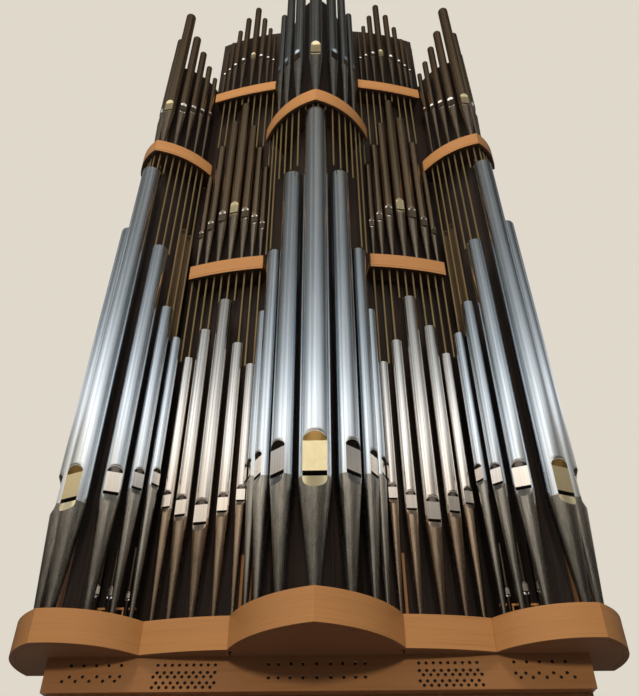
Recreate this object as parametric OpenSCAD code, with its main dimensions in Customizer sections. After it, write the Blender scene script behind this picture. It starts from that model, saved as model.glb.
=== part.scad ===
// Pipe organ with a pointed centre bow, two flats and two corner towers,
// its front pipes standing on a curved impost and on seven upper shelves.
// Origin at floor level, at the middle of the width and of the depth;
// the front faces -Y and the right-hand half lies towards +X.

/* [Front outline in plan] */
// How far the point of the centre bow stands in front of the middle of the depth
apex_y = 1030; // [980:10:1080]
// Half the width of the centre bow
bow_w = 556; // [540:1:575]
// How far the ends of the bow stand behind its point
bow_rise = 498; // [470:1:520]
// Bulge of each half of the bow
bow_sag = 85; // [70:1:100]
// Width of each flat
flat_w = 577; // [560:1:600]
// How far the outer end of a flat stands behind its inner end
flat_fall = 94; // [80:1:110]
// Bulge of a flat
flat_sag = 18; // [10:1:30]
// Width of a corner tower, from the flat to its corner
tower_w = 622; // [600:1:650]
// How far the tower's corner stands in front of the flat
tower_rise = 262; // [240:1:280]
// Bulge of the tower's front
tower_sag = 94; // [80:1:105]
// How far the tower's side runs out past its corner
side_w = 240; // [220:1:260]
// How far the tower's side runs back from its corner
side_run = 700; // [660:5:740]
// Bulge of the tower's side
side_sag = 110; // [95:1:125]

/* [Upper fronts in plan] */
// How far a middle shelf reaches in past the inner end of the flat
middle_in = 52; // [40:1:60]
// How far its inner end stands behind the flat's
middle_in_back = 37; // [30:1:45]
// How far a middle shelf reaches out past the outer end of the flat
middle_out = 82; // [60:1:90]
// How far its outer end stands behind the flat's
middle_out_back = 77; // [70:1:90]
// Bulge of a middle shelf
middle_sag = 20; // [12:1:30]
// How far a top shelf reaches in past the inner end of the flat
top_in = 59; // [50:1:65]
// How far its inner end stands behind the flat's
top_in_back = 31; // [25:1:40]
// How far a top shelf reaches out past the outer end of the flat
top_out = 108; // [100:1:115]
// How far its outer end stands behind the flat's
top_out_back = 101; // [95:1:110]
// Bulge of a top shelf
top_sag = 15; // [10:1:25]
// How far the corner of a tower shelf stands inside the tower's corner
upper_corner_in = 50; // [45:1:60]
// How far the corner of a tower shelf stands behind the tower's corner
upper_corner_back = 32; // [25:1:40]
// How far a tower shelf starts outside the outer end of the flat
upper_tower_out = 33; // [28:1:40]
// How far its inner end stands behind the flat's
upper_tower_back = 119; // [110:1:125]
// Bulge of a tower shelf's front
upper_tower_sag = 60; // [50:1:70]
// How far a tower shelf's side runs out past its corner
upper_side_w = 225; // [215:1:235]
// How far a tower shelf's side runs back from its corner
upper_side_run = 340; // [330:1:360]
// Bulge of a tower shelf's side
upper_side_sag = 45; // [40:1:55]

/* [Lower case] */
// Distance of the lower case's side inside the corners of the towers
base_inset = 35; // [20:1:60]
// Distance of the frieze's face in front of the middle of the depth
frieze_y = 408; // [380:2:430]
// Height of the frieze
frieze_h = 210; // [180:5:240]
// How far the lower front stands behind the frieze
base_recess = 100; // [75:5:140]
// Distance of the back wall's outer face behind the middle of the depth
back_y = 1030; // [980:10:1080]
// Thickness of the case's boards
board_t = 22; // [18:1:28]

/* [Frieze holes] */
// Diameter of the frieze's sound holes
hole_d = 20; // [14:1:24]
// Distance of the hole row under the frieze's top
hole_drop = 51; // [40:1:80]
// Pitch of the holes in the side groups
side_hole_pitch = 80; // [70:1:90]
// Distance of the outermost side hole from the end of the frieze
side_hole_inset = 164; // [150:1:180]
// Pitch of the holes in the centre group
centre_hole_pitch = 81; // [70:1:90]

/* [Impost] */
// Height of the impost's underside
impost_z = 3000; // [2800:10:3200]
// Height of the impost rail
impost_h = 213; // [190:1:230]
// Thickness of the curved impost boards
rail_t = 40; // [30:1:45]
// Depth of the toe board's top under the rail's top
toe_drop = 125; // [110:1:140]

/* [Shelves] */
// Thickness of a shelf's curved front board
shelf_t = 30; // [24:1:36]
// Thickness of a shelf's toe board
shelf_board_t = 36; // [28:1:45]
// Depth of a shelf's toe board under the top of its front
shelf_drop = 80; // [60:1:90]
// Distance of the centre shelf's front above the longest pipe
centre_shelf_over = 44; // [30:2:80]
// Height of the centre shelf's front
centre_shelf_h = 208; // [190:1:220]
// Height of the top of the middle shelves
middle_shelf_z = 6600; // [6560:5:6640]
// Height of the middle shelves' fronts
middle_shelf_h = 173; // [160:1:185]
// Height of the top of the top shelves
top_shelf_z = 9658; // [9630:2:9700]
// Height of the top shelves' fronts
top_shelf_h = 182; // [170:1:195]
// Height of the top of the tower shelves
tower_shelf_z = 8242; // [8240:2:8290]
// Height of the tower shelves' fronts
tower_shelf_h = 178; // [165:1:180]

/* [Inner walls] */
// Distance of the bow's inner wall behind the bow's face
bow_wall_back = 290; // [285:1:310]
// Distance of the flats' inner walls behind the faces of the middle shelves
flat_wall_back = 240; // [230:1:260]
// Distance of the towers' inner walls behind the faces of the tower shelves
tower_wall_back = 245; // [235:1:260]
// Distance of the bow's inner wall's end inside the end of the bow
bow_wall_inset = 238; // [230:1:245]
// Distance of the tower's inner wall outside the outer end of the flat
tower_wall_inset = 167; // [155:1:175]
// Top of the case behind the bow and the flats
case_z = 11300; // [11200:10:11400]
// Top of the case behind the towers
tower_case_z = 10150; // [10050:10:10250]

/* [Pipes] */
// Diameter of the longest pipe
principal_d = 230; // [220:1:235]
// Speaking length of the longest pipe
principal_l = 4340; // [4250:5:4400]
// Rate at which the diameter follows the length
scale_power = 0.8; // [0.76:0.01:0.84]
// Narrowing of the pipes that stand on the shelves
upper_scale = 0.92; // [0.85:0.01:0.94]
// Thickness of the pipe metal
metal_t = 2; // [1.5:0.5:3]
// Narrowing of the lower corner pipes
corner_scale = 0.93; // [0.9:0.01:1]
// Distance of the pipes behind the rail's or shelf's face
pipe_gap = 48; // [46:1:52]
// Distance of the lower corner pipes behind the rail's corner
corner_gap = 24; // [20:1:50]
// Distance of the pipes beside the corner behind the rail's face
side_gap = 22; // [20:1:50]
// Diameter of a pipe's toe as a share of the pipe's diameter
toe_share = 0.19; // [0.15:0.01:0.22]
// Width of a mouth as a share of the pipe's diameter
mouth_share = 0.735; // [0.68:0.005:0.78]
// Height of the mouth as a share of the diameter, from the lower lip's edge to the top of the hood
lip_share = 1.46; // [1.3:0.02:1.6]
// Height of the sloping hood over the flat upper lip as a share of the diameter
hood_share = 0.27; // [0.2:0.01:0.35]
// Height of the slit as a share of the diameter
slit_share = 0.17; // [0.12:0.01:0.22]
// Height of the lower lip as a share of the diameter
lower_lip_share = 0.4; // [0.3:0.01:0.45]
// Thickness of the languid, the plate between a pipe's foot and its body
languid_t = 4; // [3:0.5:6]

/* [Rods] */
// Diameter of the gilded rods under the shelves
rod_d = 18; // [14:1:20]
// Pitch of the rods under the centre shelf
bow_rod_pitch = 92; // [80:1:100]
// Pitch of the rods under the other shelves
rod_pitch = 75; // [65:1:85]
// Clearance between a rod and the shelf's front board
rod_gap = 12; // [8:1:16]
// Clearance between a rod's end and the pipe below it
rod_end_gap = 8; // [4:1:20]
// Distance of the outermost rod from the end of the bow
bow_rod_end = 110; // [100:1:120]
// Distance of the first rod from the inner end of a flat's shelf
flat_rod_start = 30; // [25:1:40]
// Distance of the last rod from the outer end of a middle shelf
middle_rod_end = 20; // [18:1:30]
// Distance of the last rod from the outer end of a top shelf
top_rod_end = 105; // [100:1:115]
// Distance of the first rod from the inner end of a tower shelf
tower_rod_start = 75; // [70:1:85]
// Distance of the rods from the corner of a tower shelf
corner_rod_gap = 60; // [55:1:65]
// Distance of the last rod from the end of a tower shelf's side
side_rod_end = 20; // [18:1:30]

/* [Hidden] */
$fn = 72;

// Clearance between boards that are set against each other's curved faces
seat = 0.3;
// Width of the slit as a share of the mouth's width
slit_width_share = 0.96;
// Reach of a cutting outline in front of and behind a front
ahead = 200;
behind = 700;
far = 3000;

// A front is [start, end, bulge]: an arc in plan that bulges forward, from left to right
apex = [0, -apex_y];
bow_end = apex + [bow_w, bow_rise];
flat_end = bow_end + [flat_w, flat_fall];
corner = flat_end + [tower_w, -tower_rise];
side_end = corner + [side_w, side_run];
bow = [apex, bow_end, bow_sag];
flat = [bow_end, flat_end, flat_sag];
tower = [flat_end, corner, tower_sag];
side = [corner, side_end, side_sag];

// The upper fronts stand a little inside the impost's
middle = [bow_end + [-middle_in, middle_in_back], flat_end + [middle_out, middle_out_back], middle_sag];
top = [bow_end + [-top_in, top_in_back], flat_end + [top_out, top_out_back], top_sag];
upper_corner = corner + [-upper_corner_in, upper_corner_back];
upper_tower = [flat_end + [upper_tower_out, upper_tower_back], upper_corner, upper_tower_sag];
upper_side = [upper_corner, upper_corner + [upper_side_w, upper_side_run], upper_side_sag];

function dir(a) = [cos(a), sin(a)];
function chord(f) = norm(f[1] - f[0]);
function lie(f) = atan2(f[1][1] - f[0][1], f[1][0] - f[0][0]);
function radius(f) = (pow(chord(f), 2) / 4 + pow(f[2], 2)) / (2 * f[2]);
function half_turn(f) = asin(chord(f) / 2 / radius(f));
function centre(f) = (f[0] + f[1]) / 2 + (radius(f) - f[2]) * dir(lie(f) + 90);
function heading(f, s) = lie(f) - half_turn(f) + s / radius(f) * 180 / PI;
function run(f) = 2 * half_turn(f) * PI / 180 * radius(f);
function at(f, s, back) = centre(f) + (radius(f) - back) * dir(heading(f, s) - 90);
// Direction of the mitre between the end of one front and the start of the next
function mitre(f, g) = (heading(f, run(f)) + heading(g, 0)) / 2 + 90;

bow_cut = mitre(bow, flat);
flat_cut = mitre(flat, tower);
corner_cut = mitre(tower, side);
upper_cut = mitre(upper_tower, upper_side);

toe_z = impost_z + impost_h - toe_drop;
frieze_z = impost_z - frieze_h;

// Distances from the middle
base_w = corner[0] - base_inset;
bow_wall_x = bow_end[0] - bow_wall_inset;
tower_wall_x = flat_end[0] + tower_wall_inset;

// Diameter of a pipe from its speaking length and the scale of its rank
function pipe_d(l, scale) = scale * principal_d * pow(l / principal_l, scale_power);

// A rank is a list of pipes, each [place in plan, heading, level of the toe, foot, length, diameter]
function stand(f, s, l, z, foot, scale = 1, gap = pipe_gap) = let(d = pipe_d(l, scale))
    [at(f, s, gap + d / 2), heading(f, s), z, foot, l, d];
function corner_stand(f, g, l, z, foot, scale, gap) = let(a = mitre(f, g), d = pipe_d(l, scale))
    [f[1] + (gap + d / 2) * dir(a), a - 90, z, foot, l, d];

// Lower centre: [distance from the bow's point, speaking length]
bow_pipes = [[363, 3350], [606, 2330], [772, 1620]];
// Lower flats, from the bow outwards
flat_pipes = [[0, 1260], [132, 1580], [295, 2190], [459, 1780], [585, 1410]];
// Lower towers, from the flat to the corner, then the corner pipe and the side
tower_pipes = [[35, 1430], [191, 1790], [386, 2580]];
corner_l = 3780;
side_pipes = [[335, 3000], [555, 2200], [725, 1600]];
middle_pipes = [[47, 980], [134, 1255], [239, 1600], [366, 2000], [489, 1770], [608, 1410], [702, 990]];
top_pipes = [[67, 655], [142, 825], [239, 1075], [351, 1360], [482, 1190], [586, 960], [660, 735], [722, 607]];
upper_tower_pipes = [[100, 835], [212, 1050], [330, 1350], [458, 1700]];
upper_corner_l = 2270;
upper_side_pipes = [[225, 1750], [360, 1350]];
upper_bow_pipes = [[290, 2250], [480, 1800], [640, 1400]];
upper_principal_l = 3000;

// The lower mouths rise by this much from each group's principal pipe outwards
mouth_step = 80;
bow_foot = 898;
flat_foot = 803;
corner_foot = 883;
// The middle and top mouths fall from the principal pipe outwards
middle_foot = 830;
middle_step = 97;
top_foot = 856;
top_step = 70;
upper_corner_foot = 750;
upper_step = 60;
upper_bow_foot = 960;

centre_shelf_z = toe_z + bow_foot + principal_l + centre_shelf_over + centre_shelf_h;
middle_toe = middle_shelf_z - shelf_drop;
top_toe = top_shelf_z - shelf_drop;
upper_tower_toe = tower_shelf_z - shelf_drop;
centre_toe = centre_shelf_z - shelf_drop;

function point_stand(l, z, foot, scale = 1) = let(d = pipe_d(l, scale))
    [apex + [0, pipe_gap + d / 2], 0, z, foot, l, d];

centre_rank = concat([point_stand(principal_l, toe_z, bow_foot)],
    [for (i = [0:2]) stand(bow, bow_pipes[i][0], bow_pipes[i][1], toe_z, bow_foot + mouth_step * (i + 1))]);
flat_rank = [for (i = [0:4]) stand(flat, flat_pipes[i][0], flat_pipes[i][1], toe_z,
    flat_foot + mouth_step * abs(i - 2))];
tower_rank = concat(
    [for (i = [0:2]) stand(tower, tower_pipes[i][0], tower_pipes[i][1], toe_z,
        corner_foot + mouth_step * (3 - i))],
    [corner_stand(tower, side, corner_l, toe_z, corner_foot, corner_scale, corner_gap)],
    [for (i = [0:2]) stand(side, side_pipes[i][0], side_pipes[i][1], toe_z,
        corner_foot + mouth_step * (i + 1), 1, side_gap)]);
middle_rank = [for (i = [0:6]) stand(middle, middle_pipes[i][0], middle_pipes[i][1], middle_toe,
    middle_foot - middle_step * abs(i - 3), upper_scale)];
top_rank = [for (i = [0:7]) stand(top, top_pipes[i][0], top_pipes[i][1], top_toe,
    top_foot - top_step * abs(i - 3), upper_scale)];
upper_tower_rank = concat(
    [for (i = [0:3]) stand(upper_tower, upper_tower_pipes[i][0], upper_tower_pipes[i][1], upper_tower_toe,
        upper_corner_foot + upper_step * (4 - i), upper_scale)],
    [corner_stand(upper_tower, upper_side, upper_corner_l, upper_tower_toe, upper_corner_foot, upper_scale,
        pipe_gap)],
    [for (i = [0:1]) stand(upper_side, upper_side_pipes[i][0], upper_side_pipes[i][1], upper_tower_toe,
        upper_corner_foot + upper_step * (i + 1), upper_scale)]);
upper_centre_rank = concat([point_stand(upper_principal_l, centre_toe, upper_bow_foot, upper_scale)],
    [for (i = [0:2]) stand(bow, upper_bow_pipes[i][0], upper_bow_pipes[i][1], centre_toe,
        upper_bow_foot + upper_step * (i + 1), upper_scale)]);

// Outline of a front between two cutting directions, from its face to a depth behind it
module wedge(f, cut0, cut1) {
    polygon([f[0] - ahead * dir(cut0), f[1] - ahead * dir(cut1),
        f[1] + behind * dir(cut1), f[0] + behind * dir(cut0)]);
}

module disc(f, back) {
    translate(centre(f)) circle(radius(f) - back, $fn = 720);
}

module ring(f, back, t) {
    difference() {
        disc(f, back);
        disc(f, back + t);
    }
}

// Board that follows a front, its face set back by the given distance
module curved_board(f, back, t, cut0, cut1) {
    intersection() {
        ring(f, back, t);
        wedge(f, cut0, cut1);
    }
}

// Upright strip of plan between two distances from the middle
module strip(x0, x1, y0, y1) {
    translate([x0, y0]) square([x1 - x0, y1 - y0]);
}

// Area behind a front between two distances from the middle, back as far as y1
module floor_area(f, x1, back, y1) {
    intersection() {
        disc(f, back);
        strip(f[0][0], x1, -far, y1);
    }
}

module level(z, h) {
    translate([0, 0, z]) linear_extrude(h) children();
}

module both() {
    children();
    mirror([1, 0, 0]) children();
}

module left() {
    mirror([1, 0, 0]) children();
}

// Lower case
module base_front() {
    color("burlywood") translate([-base_w + board_t, -frieze_y + base_recess, 0])
        cube([2 * (base_w - board_t), board_t, frieze_z]);
}

module base_side() {
    color("burlywood") translate([base_w - board_t, 0, 0]) rotate([90, 0, 90]) linear_extrude(board_t)
        polygon([[-frieze_y + base_recess, 0], [back_y - board_t, 0], [back_y - board_t, impost_z],
            [-frieze_y + board_t, impost_z], [-frieze_y + board_t, frieze_z],
            [-frieze_y + base_recess, frieze_z]]);
}

module back_wall() {
    color("burlywood") translate([0, back_y, 0]) rotate([90, 0, 0]) linear_extrude(board_t)
        polygon([[-base_w, 0], [base_w, 0], [base_w, tower_case_z], [tower_wall_x, tower_case_z],
            [tower_wall_x, case_z], [-tower_wall_x, case_z], [-tower_wall_x, tower_case_z],
            [-base_w, tower_case_z]]);
}

module hole(x) {
    translate([x, -frieze_y - 1, impost_z - hole_drop]) rotate([-90, 0, 0])
        cylinder(d = hole_d, h = board_t + 2);
}

// Face and floor of the frieze
module frieze_board() {
    color("burlywood") difference() {
        union() {
            translate([-base_w, -frieze_y, frieze_z]) cube([2 * base_w, board_t, frieze_h]);
            translate([-base_w + board_t, -frieze_y, frieze_z])
                cube([2 * (base_w - board_t), base_recess + board_t, board_t]);
        }
        for (i = [-1:1]) hole(i * centre_hole_pitch * 2);
        both() for (i = [0:4]) hole(base_w - side_hole_inset - i * side_hole_pitch);
    }
}

// Floor of the impost, which carries the lower pipes
module impost_floor() {
    inset = rail_t + seat;
    color("peru") level(impost_z, toe_z - impost_z) union() {
        both() {
            floor_area(bow, bow_end[0], inset, -inset);
            floor_area(flat, flat_end[0], inset, -inset);
            floor_area(tower, corner[0], inset, -inset);
            floor_area(side, side_end[0] + side_sag, inset, -inset);
        }
        strip(-base_w, base_w, flat_end[1] + tower_sag, back_y - board_t);
    }
}

// Curved rail boards of the impost
module impost_rail_centre() {
    color("burlywood") level(impost_z, impost_h) both() curved_board(bow, 0, rail_t, 90, bow_cut);
}

module impost_rail() {
    color("burlywood") level(impost_z, impost_h) curved_board(flat, 0, rail_t, bow_cut, flat_cut);
}

module tower_rail() {
    color("burlywood") level(impost_z, impost_h) union() {
        curved_board(tower, 0, rail_t, flat_cut, corner_cut);
        curved_board(side, 0, rail_t, corner_cut, 180);
        strip(base_w + seat, side_end[0] - rail_t / 2, -rail_t, 0);
    }
}

// Upper case
module case_side() {
    color("burlywood") translate([base_w - board_t, wall_y(base_w - board_t) + board_t, toe_z])
        cube([board_t, back_y - 2 * board_t - wall_y(base_w - board_t), tower_case_z - toe_z]);
}

// Place of the tower's inner wall at a distance from the middle
function wall_y(x) = centre(upper_tower)[1]
    - sqrt(pow(radius(upper_tower) - tower_wall_back, 2) - pow(x - centre(upper_tower)[0], 2));

module bow_wall() {
    color("dimgray") level(toe_z, case_z - toe_z) both() intersection() {
        curved_board(bow, bow_wall_back, board_t, 90, bow_cut);
        strip(0, bow_wall_x, -far, far);
    }
}

module flat_wall() {
    color("dimgray") level(toe_z, case_z - toe_z) intersection() {
        ring(middle, flat_wall_back, board_t);
        strip(bow_wall_x, tower_wall_x, -far, 0);
    }
}

module tower_wall() {
    color("dimgray") level(toe_z, tower_case_z - toe_z) intersection() {
        ring(upper_tower, tower_wall_back, board_t);
        strip(tower_wall_x, base_w - board_t, -far, 0);
    }
}

module centre_roof() {
    color("dimgray") level(case_z, board_t) union() {
        both() {
            intersection() {
                disc(bow, bow_wall_back);
                strip(0, bow_wall_x, -far, 0);
            }
            strip(0, bow_wall_x, centre(bow)[1], 0);
            intersection() {
                disc(middle, flat_wall_back);
                strip(bow_wall_x, tower_wall_x, -far, 0);
            }
        }
        strip(-tower_wall_x, tower_wall_x, 0, back_y);
    }
}

// Roof of a tower with the upstand that closes the side of the higher case
module tower_roof() {
    color("dimgray") union() {
        level(tower_case_z, board_t) union() {
            intersection() {
                disc(upper_tower, tower_wall_back);
                strip(tower_wall_x, base_w, -far, 0);
            }
            strip(tower_wall_x, base_w, 0, back_y);
        }
        level(tower_case_z, case_z - tower_case_z)
            strip(tower_wall_x, tower_wall_x + board_t, 0, back_y);
    }
}

// Shelves: a curved front with a toe board behind it that meets the inner wall
module shelf(f, wall, wall_back, z, h, cut0, cut1) {
    level(z - h, h) curved_board(f, 0, shelf_t, cut0, cut1);
    level(z - shelf_drop - shelf_board_t, shelf_board_t) difference() {
        intersection() {
            disc(f, shelf_t / 2);
            wedge(f, cut0, cut1);
        }
        disc(wall, wall_back - seat);
        strip(0, far, -wall_back / 2, far);
    }
}

module centre_shelf() {
    color("burlywood") both()
        shelf(bow, bow, bow_wall_back, centre_shelf_z, centre_shelf_h, 90, bow_cut);
}

module middle_shelf() {
    color("burlywood") shelf(middle, middle, flat_wall_back, middle_shelf_z, middle_shelf_h,
        lie(middle) + 90, lie(middle) + 90);
}

module top_shelf() {
    color("burlywood") shelf(top, middle, flat_wall_back, top_shelf_z, top_shelf_h,
        lie(top) + 90, lie(top) + 90);
}

module tower_shelf() {
    color("burlywood") union() {
        shelf(upper_tower, upper_tower, tower_wall_back, tower_shelf_z, tower_shelf_h, 90, upper_cut);
        level(tower_shelf_z - tower_shelf_h, tower_shelf_h)
            curved_board(upper_side, 0, shelf_t, upper_cut, 180);
        level(tower_shelf_z - shelf_drop - shelf_board_t, shelf_board_t) difference() {
            intersection() {
                disc(upper_side, shelf_t / 2);
                strip(upper_corner[0] - upper_corner_in, far, upper_corner[1] + shelf_t, upper_side[1][1]);
            }
            intersection() {
                disc(upper_tower, tower_wall_back - seat);
                strip(0, base_w + seat, -far, far);
            }
        }
    }
}

// Rods that hang from a shelf down to the pipes below
function clear(p, pipe) = norm(p - pipe[0]) - pipe[5] / 2;
function nearest(p, rank) = let(gaps = [for (q = rank) clear(p, q)])
    [for (i = [0:len(rank) - 1]) if (gaps[i] == min(gaps)) rank[i]][0];
function pipe_top(pipe) = pipe[2] + pipe[3] + pipe[4];
function rod_count(f, pitch, margin0, margin1) = floor((run(f) - margin0 - margin1) / pitch + 0.5);

module rods(f, rank, shelf_z, pitch, margin0, margin1) {
    n = rod_count(f, pitch, margin0, margin1);
    z1 = shelf_z - shelf_drop - shelf_board_t;
    for (i = [0:n]) {
        s = margin0 + (run(f) - margin0 - margin1) * i / n;
        p = at(f, s, shelf_t + rod_gap + rod_d / 2);
        z0 = pipe_top(nearest(p, rank)) + rod_end_gap;
        if (z0 < z1 - rod_d) translate([p[0], p[1], z0]) cylinder(d = rod_d, h = z1 - z0);
    }
}

module centre_rods() {
    color("goldenrod") both()
        rods(bow, centre_rank, centre_shelf_z, bow_rod_pitch, bow_rod_pitch / 2, bow_rod_end);
}

module flat_rods() {
    color("goldenrod") {
        rods(middle, flat_rank, middle_shelf_z, rod_pitch, flat_rod_start, middle_rod_end);
        rods(top, middle_rank, top_shelf_z, rod_pitch, flat_rod_start, top_rod_end);
    }
}

module tower_rods() {
    color("goldenrod") {
        rods(upper_tower, tower_rank, tower_shelf_z, rod_pitch, tower_rod_start, corner_rod_gap);
        rods(upper_side, tower_rank, tower_shelf_z, rod_pitch, corner_rod_gap, side_rod_end);
    }
}

// Flue pipe with its toe at the origin and its mouth towards -Y: a hollow foot, a languid and a body
// with both lips pressed in flat and a sloping hood over them
module pipe(foot, l, d) {
    r = d / 2;
    toe_r = toe_share * d / 2;
    half_slit = slit_width_share * mouth_share * r;
    lip_y = r * sqrt(1 - pow(mouth_share, 2));
    low_h = lower_lip_share * d;
    low_r = r - (r - toe_r) * low_h / foot;
    // the lips from the side, from the lower lip's lower edge to the top of the hood
    fold = [[-low_r, -low_h], [-lip_y, 0], [-lip_y, (lip_share - hood_share) * d], [-r, lip_share * d]];
    difference() {
        union() {
            difference() {
                rotate_extrude() polygon([[toe_r - metal_t, 0], [toe_r, 0], [r, foot], [r, foot + l],
                    [r - metal_t, foot + l], [r - metal_t, foot], [0, foot], [0, foot - languid_t],
                    [r - metal_t - (r - toe_r) * languid_t / foot, foot - languid_t]]);
                lips(foot, d, concat(fold, [[-d, lip_share * d], [-d, -low_h]]));
            }
            // sheet of the pressed lips and the hood
            intersection() {
                lips(foot, d, concat(fold, [for (i = [3:-1:0]) fold[i] + [metal_t, 0]]));
                rotate_extrude() polygon([[0, foot - low_h], [low_r - metal_t / 2, foot - low_h],
                    [r - metal_t / 2, foot], [r - metal_t / 2, foot + lip_share * d],
                    [0, foot + lip_share * d]]);
            }
        }
        // slit between the lips
        translate([-half_slit, -r, foot]) cube([2 * half_slit, r - lip_y + 3 * metal_t, slit_share * d]);
    }
}

// A shape seen from the side, drawn out across the whole pipe at the level of its mouth
module lips(foot, d, outline) {
    translate([-d / 2, 0, foot]) rotate([90, 0, 90]) linear_extrude(d) polygon(outline);
}

module rank_of(pipes) {
    for (p = pipes) translate([p[0][0], p[0][1], p[2]]) rotate([0, 0, p[1]]) pipe(p[3], p[4], p[5]);
}

module centre_pipes() {
    color("silver") {
        rank_of(centre_rank);
        left() rank_of([for (i = [1:3]) centre_rank[i]]);
    }
}

module flat_group() {
    color("silver") rank_of(flat_rank);
}

module tower_group() {
    color("silver") rank_of(tower_rank);
}

module middle_group() {
    color("silver") rank_of(middle_rank);
}

module top_group() {
    color("silver") rank_of(top_rank);
}

module upper_tower_group() {
    color("silver") rank_of(upper_tower_rank);
}

module upper_centre_group() {
    color("silver") {
        rank_of(upper_centre_rank);
        left() rank_of([for (i = [1:3]) upper_centre_rank[i]]);
    }
}

base_front();
left() base_side();  // base_side_left
base_side();  // base_side_right
back_wall();
frieze_board();
impost_floor();
impost_rail_centre();
left() impost_rail();  // impost_rail_left
impost_rail();  // impost_rail_right
left() tower_rail();  // tower_rail_left
tower_rail();  // tower_rail_right
left() case_side();  // case_side_left
case_side();  // case_side_right
centre_roof();
left() tower_roof();  // tower_roof_left
tower_roof();  // tower_roof_right
bow_wall();
left() flat_wall();  // flat_wall_left
flat_wall();  // flat_wall_right
left() tower_wall();  // tower_wall_left
tower_wall();  // tower_wall_right
centre_shelf();
left() middle_shelf();  // middle_shelf_left
middle_shelf();  // middle_shelf_right
left() top_shelf();  // top_shelf_left
top_shelf();  // top_shelf_right
left() tower_shelf();  // tower_shelf_left
tower_shelf();  // tower_shelf_right
centre_rods();
left() flat_rods();  // flat_rods_left
flat_rods();  // flat_rods_right
left() tower_rods();  // tower_rods_left
tower_rods();  // tower_rods_right
centre_pipes();
left() flat_group();  // flat_pipes_left
flat_group();  // flat_pipes_right
left() tower_group();  // tower_pipes_left
tower_group();  // tower_pipes_right
left() middle_group();  // middle_pipes_left
middle_group();  // middle_pipes_right
left() top_group();  // top_pipes_left
top_group();  // top_pipes_right
left() upper_tower_group();  // upper_tower_pipes_left
upper_tower_group();  // upper_tower_pipes_right
upper_centre_group();  // upper_centre_pipes
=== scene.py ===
"""Pipe organ: the finished surfaces, the front pipes and the studio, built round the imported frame."""

import logging
import math
from dataclasses import dataclass, field, replace
from enum import Enum, IntEnum, auto
from typing import Callable, Optional, Sequence

import bpy
from mathutils import Matrix, Vector


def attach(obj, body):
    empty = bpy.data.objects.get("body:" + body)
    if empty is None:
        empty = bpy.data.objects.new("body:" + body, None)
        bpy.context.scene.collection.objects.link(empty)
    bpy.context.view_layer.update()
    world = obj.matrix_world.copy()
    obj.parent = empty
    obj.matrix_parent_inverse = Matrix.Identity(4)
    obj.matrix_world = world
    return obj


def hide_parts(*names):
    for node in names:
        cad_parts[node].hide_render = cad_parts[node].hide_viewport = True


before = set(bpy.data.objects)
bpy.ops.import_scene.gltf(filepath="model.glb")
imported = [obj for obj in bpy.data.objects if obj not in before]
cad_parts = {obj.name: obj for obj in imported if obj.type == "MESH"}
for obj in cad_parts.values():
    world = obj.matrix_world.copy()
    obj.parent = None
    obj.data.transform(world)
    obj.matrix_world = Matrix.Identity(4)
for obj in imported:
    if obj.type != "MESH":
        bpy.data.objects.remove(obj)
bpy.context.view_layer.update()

LOG = logging.getLogger("pipe_organ")
BODY = "root"
MERGE = 1e-5
FLAT = math.radians(0.3)
SHARP = math.radians(40)
EASE = 0.002
ALONG = 0.9
HOLE_SIDES = 20
NOISE_RANGE = (0.3, 0.7)
Triple = tuple[float, float, float]
Colour = Triple
Piece = bpy.types.Object
Mesh = bpy.types.Mesh
Socket = bpy.types.NodeSocket


class Slot(Enum):
    """The record's material slot names for the finished pieces; they are handed to the builders but not set on
    the pieces.
    """

    MAPLE_PANEL = "maple_panel"
    MAPLE_BENT = "maple_bent"
    PIPE_METAL = "pipe_metal"
    GILDED_ROD = "gilded_rod"


class Side(Enum):
    """The two mirrored halves of the organ."""

    LEFT = -1
    RIGHT = 1

    @property
    def suffix(self) -> str:
        """Ending of the names on this side."""
        return f"_{self.name.lower()}"


def both(*names: str) -> tuple[str, ...]:
    """The names of the left and the right piece of each kind."""
    return tuple(name + side.suffix for name in names for side in Side)


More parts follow.
